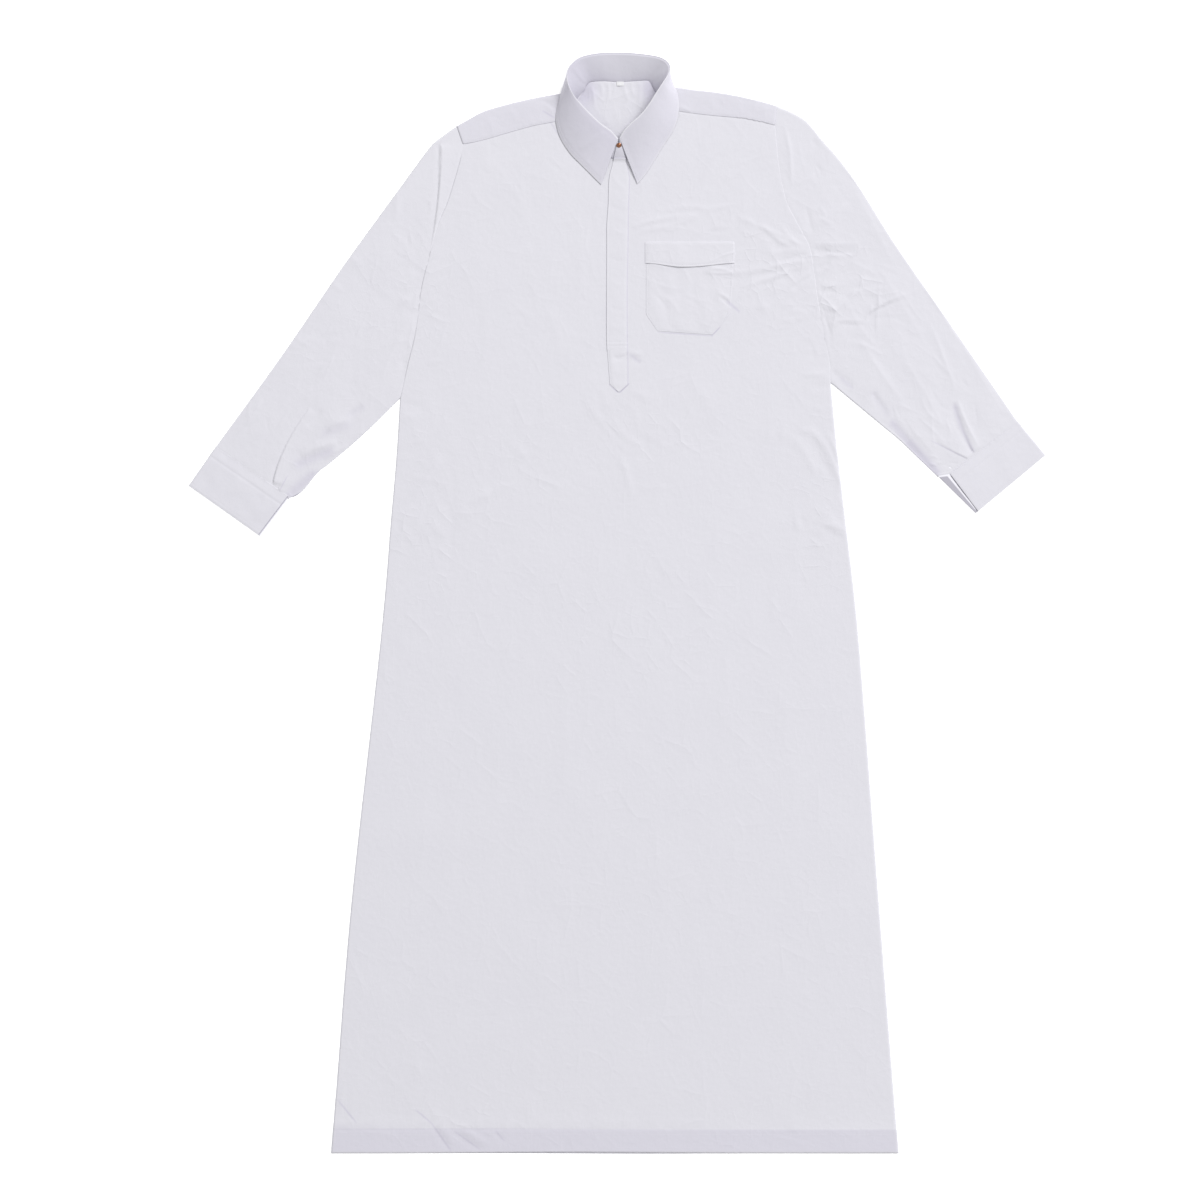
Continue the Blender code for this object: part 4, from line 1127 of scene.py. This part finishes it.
cuff = {"second": 15.0, "stitchEdge": 5.0, "depth": 63.0, "width": 119.0, "cut": (0.245, 0.066)}
cuffLeftLow = ((-541, 212), (-442, 144), (-578, 159), (-482, 91))
cuffLeftHigh = ((-541, 212), (-443.6, 145.2), (-578, 159), (-483.6, 92.2))
cuffRightLow = ((540, 246), (432, 173), (578, 200), (484, 122))
cuffRightHigh = ((540, 246), (449, 175), (578, 200), (487, 124.5))
cuffLeftCreases = ((-535, 206, -500, 182, -462, 158, 4, -0.3), (-520, 170, -505, 178, -492, 190, 7, 0.3),
                   (-556, 176, -548, 184, -540, 196, 6, 0.25), (-500, 130, -494, 140, -490, 152, 7, 0.3))
cuffRightCreases = ((540, 196, 530, 186, 520, 180, 7, 0.3), (500, 150, 510, 158, 514, 170, 7, 0.3),
                    (552, 214, 548, 206, 540, 200, 6, 0.25))


def placeCuff(low, high, gape, rim, creases, seed):
    def place(u, v):
        # u runs 0 to 1 over the upper layer from the inner end to the fold, then 1 to 2 underneath
        upper = u <= 1
        s = np.where(upper, 1 - u, u - 1)                       # 0 at the fold, 1 at the inner end
        corners = [np.where(upper[:, None], np.array(high[k], float), np.array(low[k], float)) for k in range(4)]
        seam = corners[0] + (corners[1] - corners[0]) * s[:, None]
        free = corners[2] + (corners[3] - corners[2]) * s[:, None]
        x, y = (seam + (free - seam) * v[:, None]).T
        edge, inner = s * cuff["width"], (1 - s) * cuff["width"]
        rounding = np.sqrt(np.clip(1 - (1 - np.clip(edge / 3, 0, 1)) ** 2, 0, 1))
        down = v * cuff["depth"]
        lift = gape * ease((s - 0.5) / 0.5) * (1 - 0.75 * v ** 2)
        grooves = 0.26 * bump(down - cuff["second"], 1.8) + 0.1 * bump(cuff["depth"] - down - cuff["stitchEdge"], 1.0)
        puff = 0.3 * ease(down / 14) * ease((cuff["depth"] - down + 0.6) / 3) - 0.25 * bump(inner, 1.4)
        puff = puff + (ripple(x, y, 34, 0.13, seed) + creaseHeight(creases, x, y)) * ease(down / 9)
        puckers = 0.05 * np.sin(edge / 1.7 + 2 * np.sin(edge / 9)) * bump(down - 2.5, 3)
        step = -0.02 + 0.26 * ease(down / 13) * ease((cuff["depth"] - down + 1) / 5)
        z = 1.0 + (step + puff + puckers - grooves) * rounding + lift
        run = high[3][0] - high[1][0], high[3][1] - high[1][1]
        away = ((x - high[1][0]) * run[1] - (y - high[1][1]) * run[0]) / cuff["depth"]
        middle = rim * (1 - v) + 1.2 * v
        reach = 2.3 - 1.3 * v                                   # the facing's rolled edge, given a painted highlight
        rolled = ease((reach - np.abs(away - middle)) / 0.8) * ease((62 - down) / 4)
        corner, way = high[1], np.array(high[1]) - np.array(low[1])
        under = ((x - corner[0]) * way[1] - (y - corner[1]) * way[0]) / np.hypot(*way)
        rolled = np.maximum(rolled, ease((3.4 - under) / 1.0))
        below = 0.42 + 0.5 * (1 - rounding) + 0.35 * rolled * (gape > 0.5)
        # painted shade along the left cuff's inner end and a painted highlight along the free edge
        top = 0.99 - 0.42 * ease((1.5 - inner) / 0.9) * (gape < 0.5) + 0.1 * ease((down - 61.2) / 1.2)
        shadeAndTone = np.where(upper, top, 0.66 + 0.58 * rolled)          # painted shade on the inside, painted highlight on the rolled edge
        return x, y, np.where(upper, z, below), np.where(upper, s, -s) * cuff["width"], down, shadeAndTone

    return place


def buildCuff(name, node, place):
    around = spans((0, 0.03, 6), (0.03, 0.96, 76), (0.96, 1, 6), (1, 1.04, 5), (1.04, 1.8, 14), (1.8, 2, 40))
    down = spans((0, 0.1, 8), (0.1, 0.3, 14), (0.3, 0.88, 22), (0.88, 1, 12))
    mesh = sheetMesh(name, around, down, place, banding, turned=True)
    piece = addPiece(name, mesh, "banding", [node], cloth["bandThickness"])
    along = np.linspace(0.03, 0.985, 200)
    lines = (1.6, cuff["depth"] - cuff["stitchEdge"])
    rows = [row for line in lines for row in sewRow(place, along, np.full(along.shape, line / cuff["depth"]), 0.36)]
    return rows


cuffSewing = buildCuff("cuffLeft", "cuff_left", placeCuff(cuffLeftLow, cuffLeftHigh, 0.2, 0.0, cuffLeftCreases, 31))
cuffSewing += buildCuff("cuffRight", "cuff_right",
                        placeCuff(cuffRightLow, cuffRightHigh, 0.75, 3.2, cuffRightCreases, 32))
print("cuffs made")


# collar

collar = {"stitch": 5.0, "leafThickness": 0.6, "standLength": 420.0, "standDepth": 36.0, "leafLength": 430.0,
          "leafDepth": 60.0, "standCut": (0.42, 0.038), "leafCut": (0.46, 0.075)}

# neck seam x y z, crest of the fold x y z, edge of the leaf x y z, how far the leaf hangs straight
collarSections = np.array((
    (0, 599, 2.2, 1, 626, 9, -22, 565, 2.05, 0.0),
    (-15, 604, 2.2, -8, 636, 11, -33, 576, 2.05, 0.0),
    (-34, 615, 2.2, -20, 644, 14, -49, 592, 1.95, 0.0),
    (-50, 630, 2.2, -35, 657, 17, -65, 609, 1.95, 0.0),
    (-62, 647, 2.2, -49, 671, 20, -78, 631, 2.1, 0.1),
    (-64, 664, 2.2, -59, 683, 22, -83, 654, 2.4, 0.2),
    (-56, 678, 2.0, -66, 697, 24, -80, 673, 2.5, 0.3),
    (-45, 692, 1.6, -68, 711, 22, -75, 692, 2.8, 0.6),
    (-41, 700, 1.4, -64, 722, 20, -68, 700, 1.2, 0.9),
    (-35, 704, 1.4, -50, 734, 17, -50, 708, 1.0, 1.0),
    (-19, 705, 1.4, -25, 740, 15, -23, 710, 1.0, 1.0),
    (1, 704, 1.4, 4, 741, 14, 2, 710, 1.0, 1.0),
    (23, 705, 1.4, 32, 739, 15, 27, 711, 1.0, 1.0),
    (40, 706, 1.4, 58, 734, 17, 55, 710, 1.0, 1.0),
    (45, 703, 1.4, 70, 724, 20, 71, 703, 1.2, 0.9),
    (49, 696, 1.6, 69, 712, 22, 79, 694, 2.5, 0.6),
    (56, 684, 2.0, 61, 699, 24, 83, 678, 2.5, 0.3),
    (65, 669, 2.2, 51, 684, 22, 82, 657, 2.4, 0.2),
    (67, 651, 2.2, 42, 670, 20, 75, 637, 2.1, 0.1),
    (58, 634, 2.2, 31, 657, 17, 63, 618, 1.95, 0.0),
    (40, 616, 2.2, 19, 647, 14, 50, 597, 1.95, 0.0),
    (20, 605, 2.2, 9, 637, 11, 36, 576, 2.05, 0.0),
    (4, 599, 2.2, 3, 627, 9, 27, 566, 2.05, 0.0),
), float)
leafCreases = (
    (-52, 612, -36, 622, -16, 637, 5, 1.2),        # soft crease across the left leaf
    (-56, 628, -48, 636, -40, 640, 6, 0.4),
    (-40, 596, -34, 604, -30, 614, 7, -0.4),
    (-70, 650, -66, 660, -66, 672, 6, 0.4),
    (52, 612, 44, 620, 36, 626, 7, 0.4),
    (62, 640, 60, 650, 62, 662, 6, 0.35),
)
standFolds = ((0.36, 1.0), (0.41, -0.8), (0.455, 0.8), (0.5, -0.9), (0.545, 0.9), (0.6, -0.8), (0.64, 0.9))


def sectionAt(u):
    # the collar's section at a share of the way round, smooth between the rows
    rows = len(collarSections)
    i = np.clip(np.floor(u * (rows - 1)).astype(int), 0, rows - 2)
    s = (u * (rows - 1) - i)[:, None]
    p = np.vstack([2 * collarSections[0] - collarSections[1], collarSections,
                   2 * collarSections[-1] - collarSections[-2]])
    row = smoothBetween(p[i], p[i + 1], p[i + 2], p[i + 3], s)
    return row[:, 0:3], row[:, 3:6], row[:, 6:9], np.clip(row[:, 9], 0, 1)


def placeStand(u, v):
    neck, crest, edge, hang = sectionAt(u)
    rise = crest - neck
    size = np.linalg.norm(rise, axis=1, keepdims=True)
    x, y, z = (neck + rise * (v[:, None] * (1 - 1.4 / size))).T
    folds = sum(height * bump(u - at - 0.01 * v, 0.014) for at, height in standFolds)
    z = z + (0.9 + folds) * np.sin(np.pi * np.clip(v, 0, 1)) * 0.6 * ease(np.minimum(u, 1 - u) * 12)
    z = z - 0.5 * bump(v * collar["standDepth"], 2.0)
    # painted shade inside the stand, most on its left, and darker towards the neck seam
    shadeAndTone = 0.94 - 0.13 * bump(u - 0.3, 0.11) - 0.05 * bump(u - 0.7, 0.05) - 0.04 * (1 - ease(v / 0.4))
    return x, y, z, u * collar["standLength"], v * collar["standDepth"], shadeAndTone


def placeLeaf(u, v):
    neck, crest, edge, hang = sectionAt(u)
    rolled = crest + (np.column_stack([edge[:, 0], edge[:, 1], crest[:, 2]]) - crest) * 0.36
    dropped = np.column_stack([crest[:, 0], crest[:, 1], edge[:, 2]])
    control = rolled + (dropped - rolled) * hang[:, None]
    fromFront = np.minimum(u, 1 - u) * collar["leafLength"]
    ends = bump(fromFront, np.where(u < 0.5, 70, 26))           # the fronts lie flatter
    control[:, 2] -= np.where(u < 0.5, 0.4, 0.65) * (crest - edge)[:, 2] * ends
    t = np.clip(v, 0, 1)[:, None]
    inward = neck - crest
    inward /= np.linalg.norm(inward, axis=1, keepdims=True)
    tuck = np.clip(-v, 0, 1)                                    # the first stretch rolls in over the stand
    x, y, z = ((1 - t) ** 2 * crest + 2 * t * (1 - t) * control + t ** 2 * edge + inward * tuck[:, None] * 2.6).T
    forward = 1 - hang
    fromEdge = np.linalg.norm(edge - crest, axis=1) * (1 - t[:, 0])
    groove = np.maximum(bump(fromEdge - collar["stitch"], 0.9), bump(fromFront - collar["stitch"], 0.9))
    puff = (0.35 * ease(fromEdge / 6) + creaseHeight(leafCreases, x, y)) * ease(fromFront / 6) * forward
    standOff = 0.4 * bump(fromFront, 7) * np.sin(np.pi * t[:, 0]) ** 0.8
    z = z - 0.35 * tuck + (puff - 0.18 * groove + standOff) * ease(t[:, 0] * 5)
    fromCrest = np.maximum(np.linalg.norm(edge - crest, axis=1) * t[:, 0], tuck * 2.6)
    # painted highlight along the crest of the roll and along the outer edge; painted shade on the left leaf near the
    # crest, lighter towards its edge
    shadeAndTone = 0.93 + np.where(u < 0.5, 0.2, 0.32) * bump(fromCrest, 1.7) * forward
    shadeAndTone += (0.09 * bump(fromEdge, 1.3) + (0.05 * t[:, 0] - 0.045) * (u < 0.5)) * forward
    return x, y, z, u * collar["leafLength"], v * collar["leafDepth"], shadeAndTone


def buildCollar():
    around = spans((0, 0.03, 10), (0.03, 0.97, 190), (0.97, 1, 10))
    stand = sheetMesh("collarStand", around, spans((0, 0.15, 5), (0.15, 1, 14)), placeStand, banding)
    piece = addPiece("collarStand", stand, "banding", ["collar_stand"], cloth["bandThickness"])
    up = spans((-1, 0, 4), (0, 0.2, 8), (0.2, 0.8, 18), (0.8, 1, 14))
    leaf = sheetMesh("collarLeaf", around, up, placeLeaf, banding)
    piece = addPiece("collarLeaf", leaf, "banding", ["collar_leaf"], collar["leafThickness"])
    around = np.linspace(0.012, 0.988, 500)
    rows = sewRow(placeLeaf, around, np.full(around.shape, 0.93), 0.32)
    down = np.linspace(0.06, 0.93, 60)
    for end in (0.0118, 0.9882):
        rows += sewRow(placeLeaf, np.full(down.shape, end), down, 0.32)
    return rows


collarSewing = buildCollar()
print("collar folded")


# placket, underlap and stud

placket = {"thickness": 0.55, "width": 28.0, "point": 11.0, "flyEnd": 0.84, "cut": (0.033, 0.318),
           "barRows": (352.8, 347.6)}
placketLeft = ((-4, 601.5), (-7, 590), (-11, 572), (-12, 540), (-14, 510), (-14, 477), (-14.3, 364),
               (-12.5, 330), (-10, 296))
placketRight = ((11.5, 601.5), (14, 590), (17, 572), (16, 540), (15, 477), (14, 430), (14.2, 364), (15, 330),
                (15, 296))
placketCreases = (
    (-8, 578, 2, 566, 12, 560, 7, 0.5),
    (-10, 540, 2, 532, 14, 530, 7, -0.5),
    (-8, 508, 4, 500, 13, 502, 8, 0.55),
    (-12, 470, 0, 462, 12, 466, 7, -0.5),
    (-8, 438, 2, 430, 12, 434, 7, 0.5),
    (-10, 402, 2, 396, 12, 398, 6, -0.45),
    (-8, 376, 2, 372, 12, 376, 6, 0.45),
    (-6, 334, 4, 331, 16, 337, 6, -1.6),
    (15, 342, 9, 338, 3, 336, 4, 0.5),
    (-6, 316, 2, 312, 10, 314, 5, 0.4),
)


def placePlacket(u, v):
    left, right = alongCurve(placketLeft, np.clip(v, 0, 1)), alongCurve(placketRight, np.clip(v, 0, 1))
    x, y = (left + (right - left) * u[:, None]).T
    point = np.clip(v - 1, 0, 1)                                # the last stretch narrows to the point
    x, y = x + (2.2 - x) * point, y - placket["point"] * point
    fly = v < placket["flyEnd"]
    toLeft, toRight = u * placket["width"], (1 - u) * placket["width"]
    edge = np.minimum(toLeft, toRight)
    z = frontTopAt(x, y) + 0.12 + creaseHeight(placketCreases, x, y)
    z += 0.3 * ease(edge / 5) * (1 - point)
    z += np.where(fly, 0.4 * bump(toLeft, 2.0), 0)              # the free edge of the fly stands off a little
    z -= np.where(fly, 0.2 * bump(toRight, 2.0), 0.14 * bump(edge - 2.2, 0.8))
    toPoint = (1 - point) * placket["point"]
    z += np.where(v > 0.97, 0.34 * bump(toPoint - 2.6 + edge * 0.2, 1.5), 0)
    z += 2.4 * ease((y - 596) / 6)                              # its top rides up on the end of the stand
    for line in placket["barRows"]:
        z -= 0.12 * bump(y - line, 0.9)
    z += 0.06 * bump(y - sum(placket["barRows"]) / 2, 1.2)
    # painted shade along the right edge and at the very top
    return x, y, z, x, y, 1 - 0.17 * (1 - ease(toRight / 1.8)) - 0.2 * ease((y - 599.3) / 1.5)


def buildPlacket():
    across = spans((0, 0.1, 5), (0.1, 0.9, 20), (0.9, 1, 4))
    down = spans((0, 0.78, 116), (0.78, 0.86, 30), (0.86, 1, 22), (1, 1.97, 12))
    mesh = sheetMesh("placketBand", across, down, placePlacket, banding)
    piece = addPiece("placketBand", mesh, "banding", ["placket"], placket["thickness"])
    rows = []
    top, long = placketLeft[0][1], placketLeft[0][1] - placketLeft[-1][1]
    for line in placket["barRows"]:
        u = np.linspace(0.03, 0.97, 30)
        rows += sewRow(placePlacket, u, np.full(u.shape, (top - line) / long), 0.22)
    v = np.linspace(0.83, 0.995, 60)
    for u in (0.08, 0.92):
        rows += sewRow(placePlacket, np.full(v.shape, u), v, 0.34)
    v = np.linspace(0.01, 0.83, 200)
    rows += sewRow(placePlacket, np.full(v.shape, 0.93), v, 0.22)
    return rows


# y, left, right and height of its two ends
underlap = {"low": (597.0, -6.0, 12.5, 1.3), "high": (620.0, 0.0, 4.4, 8.6), "cut": (0.019, 0.024), "rise": 0.9}


def placeUnderlap(u, v):
    low, high = (np.array(underlap[key]) for key in ("low", "high"))
    row = low + (high - low) * v[:, None]
    x = row[:, 1] + (row[:, 2] - row[:, 1]) * u
    z = row[:, 3] + underlap["rise"] * np.sin(np.pi * v) + 0.3 * np.sin(np.pi * u)
    # painted shade: the underlap lies in the shade between the collar's leaves
    return x, row[:, 0], z, x, row[:, 0], 0.93


def buildUnderlap():
    mesh = sheetMesh("underlapBand", spans((0, 1, 14)), spans((0, 1, 16)), placeUnderlap, banding)
    piece = addPiece("underlapBand", mesh, "banding", ["underlap"], cloth["thickness"])


stud = {"x": 2.3, "y": 617.0, "radius": 2.8, "rise": 1.5, "lift": 0.25, "ring": 3.6}


def buildStud():
    # half profile of a domed cap with a rolled rim on a flat ring, spun about its own axis
    r, h, ring = stud["radius"], stud["rise"], stud["ring"]
    profile = [(0, h), (r * 0.35, h * 0.98), (r * 0.62, h * 0.9), (r * 0.76, h * 0.76), (r * 0.82, h * 0.66),
               (r * 0.88, h * 0.72), (r * 0.95, h * 0.66), (r, h * 0.45), (r * 0.98, h * 0.22),
               (ring * 0.9, h * 0.2), (ring, h * 0.1), (ring * 0.98, 0), (0, 0)]
    cap = bmesh.new()
    line = [cap.verts.new((x * mm, 0, z * mm)) for x, z in profile]
    edges = [cap.edges.new(pair) for pair in zip(line, line[1:])]
    bmesh.ops.spin(cap, geom=line + edges, cent=(0, 0, 0), axis=(0, 0, 1), angle=2 * math.pi, steps=40,
                   use_merge=True)
    bmesh.ops.remove_doubles(cap, verts=cap.verts, dist=0.000001)
    bmesh.ops.recalc_face_normals(cap, faces=cap.faces)
    low, high = underlap["low"], underlap["high"]
    slope = math.atan2(high[3] - low[3], high[0] - low[0])
    share = (stud["y"] - low[0]) / (high[0] - low[0])
    base = low[3] + (high[3] - low[3]) * share + underlap["rise"] * math.sin(math.pi * share) + stud["lift"]
    place = Matrix.Translation(Vector((stud["x"], stud["y"], base)) * mm) @ Matrix.Rotation(slope, 4, "X")
    bmesh.ops.transform(cap, matrix=place, verts=cap.verts)
    mesh = bpy.data.meshes.new("pressStud")
    for face in cap.faces:
        face.smooth = True
    cap.to_mesh(mesh)
    cap.free()
    mesh.materials.append(copper)
    addPiece("studCap", mesh, "copper_stud", ["press_stud"])


placketSewing = buildPlacket()
buildUnderlap()
buildStud()
print("placket closed")


# pocket and label

# the flap: its left, right and top, then the height of its lower corners and how far its middle hangs below
pocket = {"cut": (0.118, 0.116), "width": 115.0, "depth": 118.0, "flapCut": (0.123, 0.036), "flapThickness": 0.5,
          "flapLift": 0.78, "flap": (37.5, 158.5, 488.5), "flapLow": (459.2, 5.2), "flapDepth": 30.0}
pocketLeft = ((39, 480), (39, 450), (39, 425), (39, 400), (39.6, 390), (46.5, 379), (54.5, 367.6))
pocketRight = ((156, 480), (156, 450), (155, 425), (153, 405), (150, 389), (138.5, 373.5), (128.5, 362.5))
pocketCreases = (
    (40, 462, 60, 455, 78, 452, 4, 0.6),           # short ones below the flap
    (57, 461, 64, 456, 70, 452, 3, -0.6),
    (120, 458, 140, 452, 160, 455, 4, 0.6),
    (40, 446, 52, 436, 58, 432, 5, -0.5),
    (44, 440, 64, 428, 92, 424, 6, 0.5),
    (88, 452, 94, 444, 98, 432, 4, 0.5),
    (46, 418, 60, 408, 68, 392, 6, -0.5),
    (60, 416, 76, 404, 84, 388, 6, 0.55),
    (92, 420, 108, 410, 128, 408, 7, 0.5),
    (98, 398, 108, 392, 112, 380, 5, 0.4),
    (138, 415, 151, 404, 164, 394, 5, -1.3),       # the deep one that crosses the right edge
    (133, 421, 145, 415, 156, 408, 5, 1.0),
    (134, 412, 146, 404, 152, 396, 5, 0.6),
    (112, 380, 120, 376, 128, 374, 4, 0.5),
    (124, 378, 130, 382, 134, 386, 3, 0.5),
)


def placePocket(u, v):
    left, right = alongCurve(pocketLeft, v), alongCurve(pocketRight, v)
    x, y = (left + (right - left) * u[:, None]).T
    edge = np.minimum(np.minimum(u, 1 - u) * pocket["width"], (1 - v) * pocket["depth"])
    z = frontTopAt(x, y) - 0.08 + 0.08 * ease(edge / 1.6) + creaseHeight(pocketCreases, x, y) * ease(edge / 5)
    z -= 0.2 * bump(edge - 2.4, 0.8) * (0.75 + 0.25 * np.sin((x + y) / 2.2))
    z += 0.2 * ease(edge / 25) + ripple(x, y, 26, 0.12, 45) * ease(edge / 8)
    # a painted highlight along the pocket's left edge
    return x, y, z, x, y, 1 + 0.1 * (1 - ease(u * pocket["width"] / 1.4))


def placeFlapOver(u, v):
    left, right, top = pocket["flap"]
    corners, sag = pocket["flapLow"]
    low = corners - sag * ease(u / 0.42) * ease((1 - u) / 0.55) ** 0.8
    x, y = left + (right - left) * u, top + (low - top) * v
    side = np.minimum(u, 1 - u) * (right - left)
    down = v * pocket["flapDepth"]
    rise = np.sin(np.pi * np.clip(u * 1.05, 0, 1)) ** 0.8 * v ** 1.6
    z = frontTopAt(x, y) + 0.72 + pocket["flapLift"] * rise
    z -= 0.62 * (1 - ease(side / 2.4)) + 0.6 * (1 - ease(down / 3))
    z -= 0.16 * bump(down - 2.2, 0.8) + 0.14 * bump(pocket["flapDepth"] - down - 3.0, 0.9)
    z -= 0.14 * bump(side - 3.2, 0.8)
    z += ripple(x, y, 34, 0.16, 41) * ease(side / 8)
    # a painted highlight along the flap's left edge
    return x, y, z, x, y, 1 + 0.24 * (1 - ease(side / 1.6)) * (u < 0.5)


def buildPocket():
    mesh = sheetMesh("chestPocket", spans((0, 0.04, 6), (0.04, 0.96, 66), (0.96, 1, 6)),
                     spans((0, 0.96, 80), (0.96, 1, 6)), placePocket, frontShirting)
    piece = addPiece("chestPocket", mesh, "shirting", ["pocket"], cloth["thickness"])
    mesh = sheetMesh("flapBand", spans((0, 0.05, 8), (0.05, 0.95, 66), (0.95, 1, 8)),
                     spans((0, 0.2, 10), (0.2, 0.85, 16), (0.85, 1, 8)), placeFlapOver, shirting)
    piece = addPiece("flapBand", mesh, "shirting", ["pocket_flap"], pocket["flapThickness"])
    down, across = np.linspace(0.07, 0.978, 200), np.linspace(0.03, 0.97, 120)
    rows = []
    for u in (0.021, 0.979):
        rows += sewRow(placePocket, np.full(down.shape, u), down, sewing["lift"])
    rows += sewRow(placePocket, across, np.full(across.shape, 0.98), sewing["lift"])
    for v in (0.075, 0.9):
        rows += sewRow(placeFlapOver, across, np.full(across.shape, v), 0.28)
    down = np.linspace(0.09, 0.9, 60)
    for u in (0.028, 0.972):
        rows += sewRow(placeFlapOver, np.full(down.shape, u), down, 0.28)
    return rows


label = {"left": -1.0, "top": 704.3, "width": 10.0, "depth": 6.0, "thickness": 0.3}


def placeLabel(u, v):
    x, y = label["width"] * u + label["left"], label["top"] - label["depth"] * v
    z = placeYokeBack(*yokeShare(x, y))[2] + 0.42 + 0.2 * np.sin(np.pi * u)
    return x, y, z, x, y, 1.0


def yokeShare(x, y):
    # where a spot near the back of the neck lies in the yoke's own u, v
    return 0.5 + x / 433.0 - 0.003, 1 - (704.5 - y) / 129.0


def buildLabel():
    mesh = sheetMesh("labelTab", spans((0, 1, 12)), spans((0, 1, 8)), placeLabel, labelTape)
    piece = addPiece("labelTab", mesh, "label_tape", ["neck_label"], label["thickness"])


pocketSewing = buildPocket()
buildLabel()
print("pocket and label sewn")

for name, rows, slot in (("frontStitches", frontSewing, "shirting"), ("yokeStitches", yokeSewing, "shirting"),
                         ("cuffStitches", cuffSewing, "banding"), ("collarStitches", collarSewing, "banding"),
                         ("placketStitches", placketSewing, "banding"),
                         ("pocketStitches", pocketSewing, "shirting")):
    buildStitches(name, rows, slot)
print("stitches sewn")


# floor, light and camera

studio = {"floor": 0.955, "halfFloor": 7.0, "floorGap": 0.0003, "glow": 0.42, "sky": 0.60,
          "key": 1420.0, "keyPlace": (6.4, 7.6, 9.2), "keySize": 6.5}


def buildStudio():
    floorMesh = bpy.data.meshes.new("floor")
    ground = bmesh.new()
    bmesh.ops.create_grid(ground, x_segments=2, y_segments=2, size=studio["halfFloor"])
    ground.to_mesh(floorMesh)
    ground.free()
    floorMesh.transform(Matrix.Translation((0, 0, -studio["floorGap"])))
    floor = bpy.data.objects.new("floor", floorMesh)
    scene.collection.objects.link(floor)
    paper = bpy.data.materials.new("paper")
    paper.use_nodes = True
    shader = paper.node_tree.nodes["Principled BSDF"]
    shader.inputs["Base Color"].default_value = (studio["floor"],) * 3 + (1,)
    shader.inputs["Roughness"].default_value = 0.95
    shader.inputs["Specular IOR Level"].default_value = 0.1
    shader.inputs["Emission Color"].default_value = (1, 1, 1, 1)
    shader.inputs["Emission Strength"].default_value = studio["glow"]
    floorMesh.materials.append(paper)
    world = bpy.data.worlds.new("softRoom")
    world.use_nodes = True
    world.node_tree.nodes["Background"].inputs["Color"].default_value = (1.0, 1.0, 1.0, 1)
    world.node_tree.nodes["Background"].inputs["Strength"].default_value = studio["sky"]
    scene.world = world
    lamp = bpy.data.lights.new("windowKey", "AREA")
    lamp.energy = studio["key"]
    lamp.size = studio["keySize"]
    key = bpy.data.objects.new("windowKey", lamp)
    key.location = studio["keyPlace"]
    key.rotation_euler = (Vector((0, 0.1, 0)) - key.location).to_track_quat("-Z", "Y").to_euler()
    scene.collection.objects.link(key)
    scene.view_settings.view_transform = "Standard"


view = {"lens": 85.0, "sensor": 36.0, "frame": 1.62, "asideX": -0.0232, "asideY": 0.0047}


def buildCamera():
    lens = bpy.data.cameras.new("overhead")
    lens.lens = view["lens"]
    lens.sensor_width = view["sensor"]
    camera = bpy.data.objects.new("overhead", lens)
    camera.location = (view["asideX"], view["asideY"], view["frame"] * view["lens"] / view["sensor"])
    scene.collection.objects.link(camera)
    scene.camera = camera


buildStudio()
buildCamera()
print("studio lit")
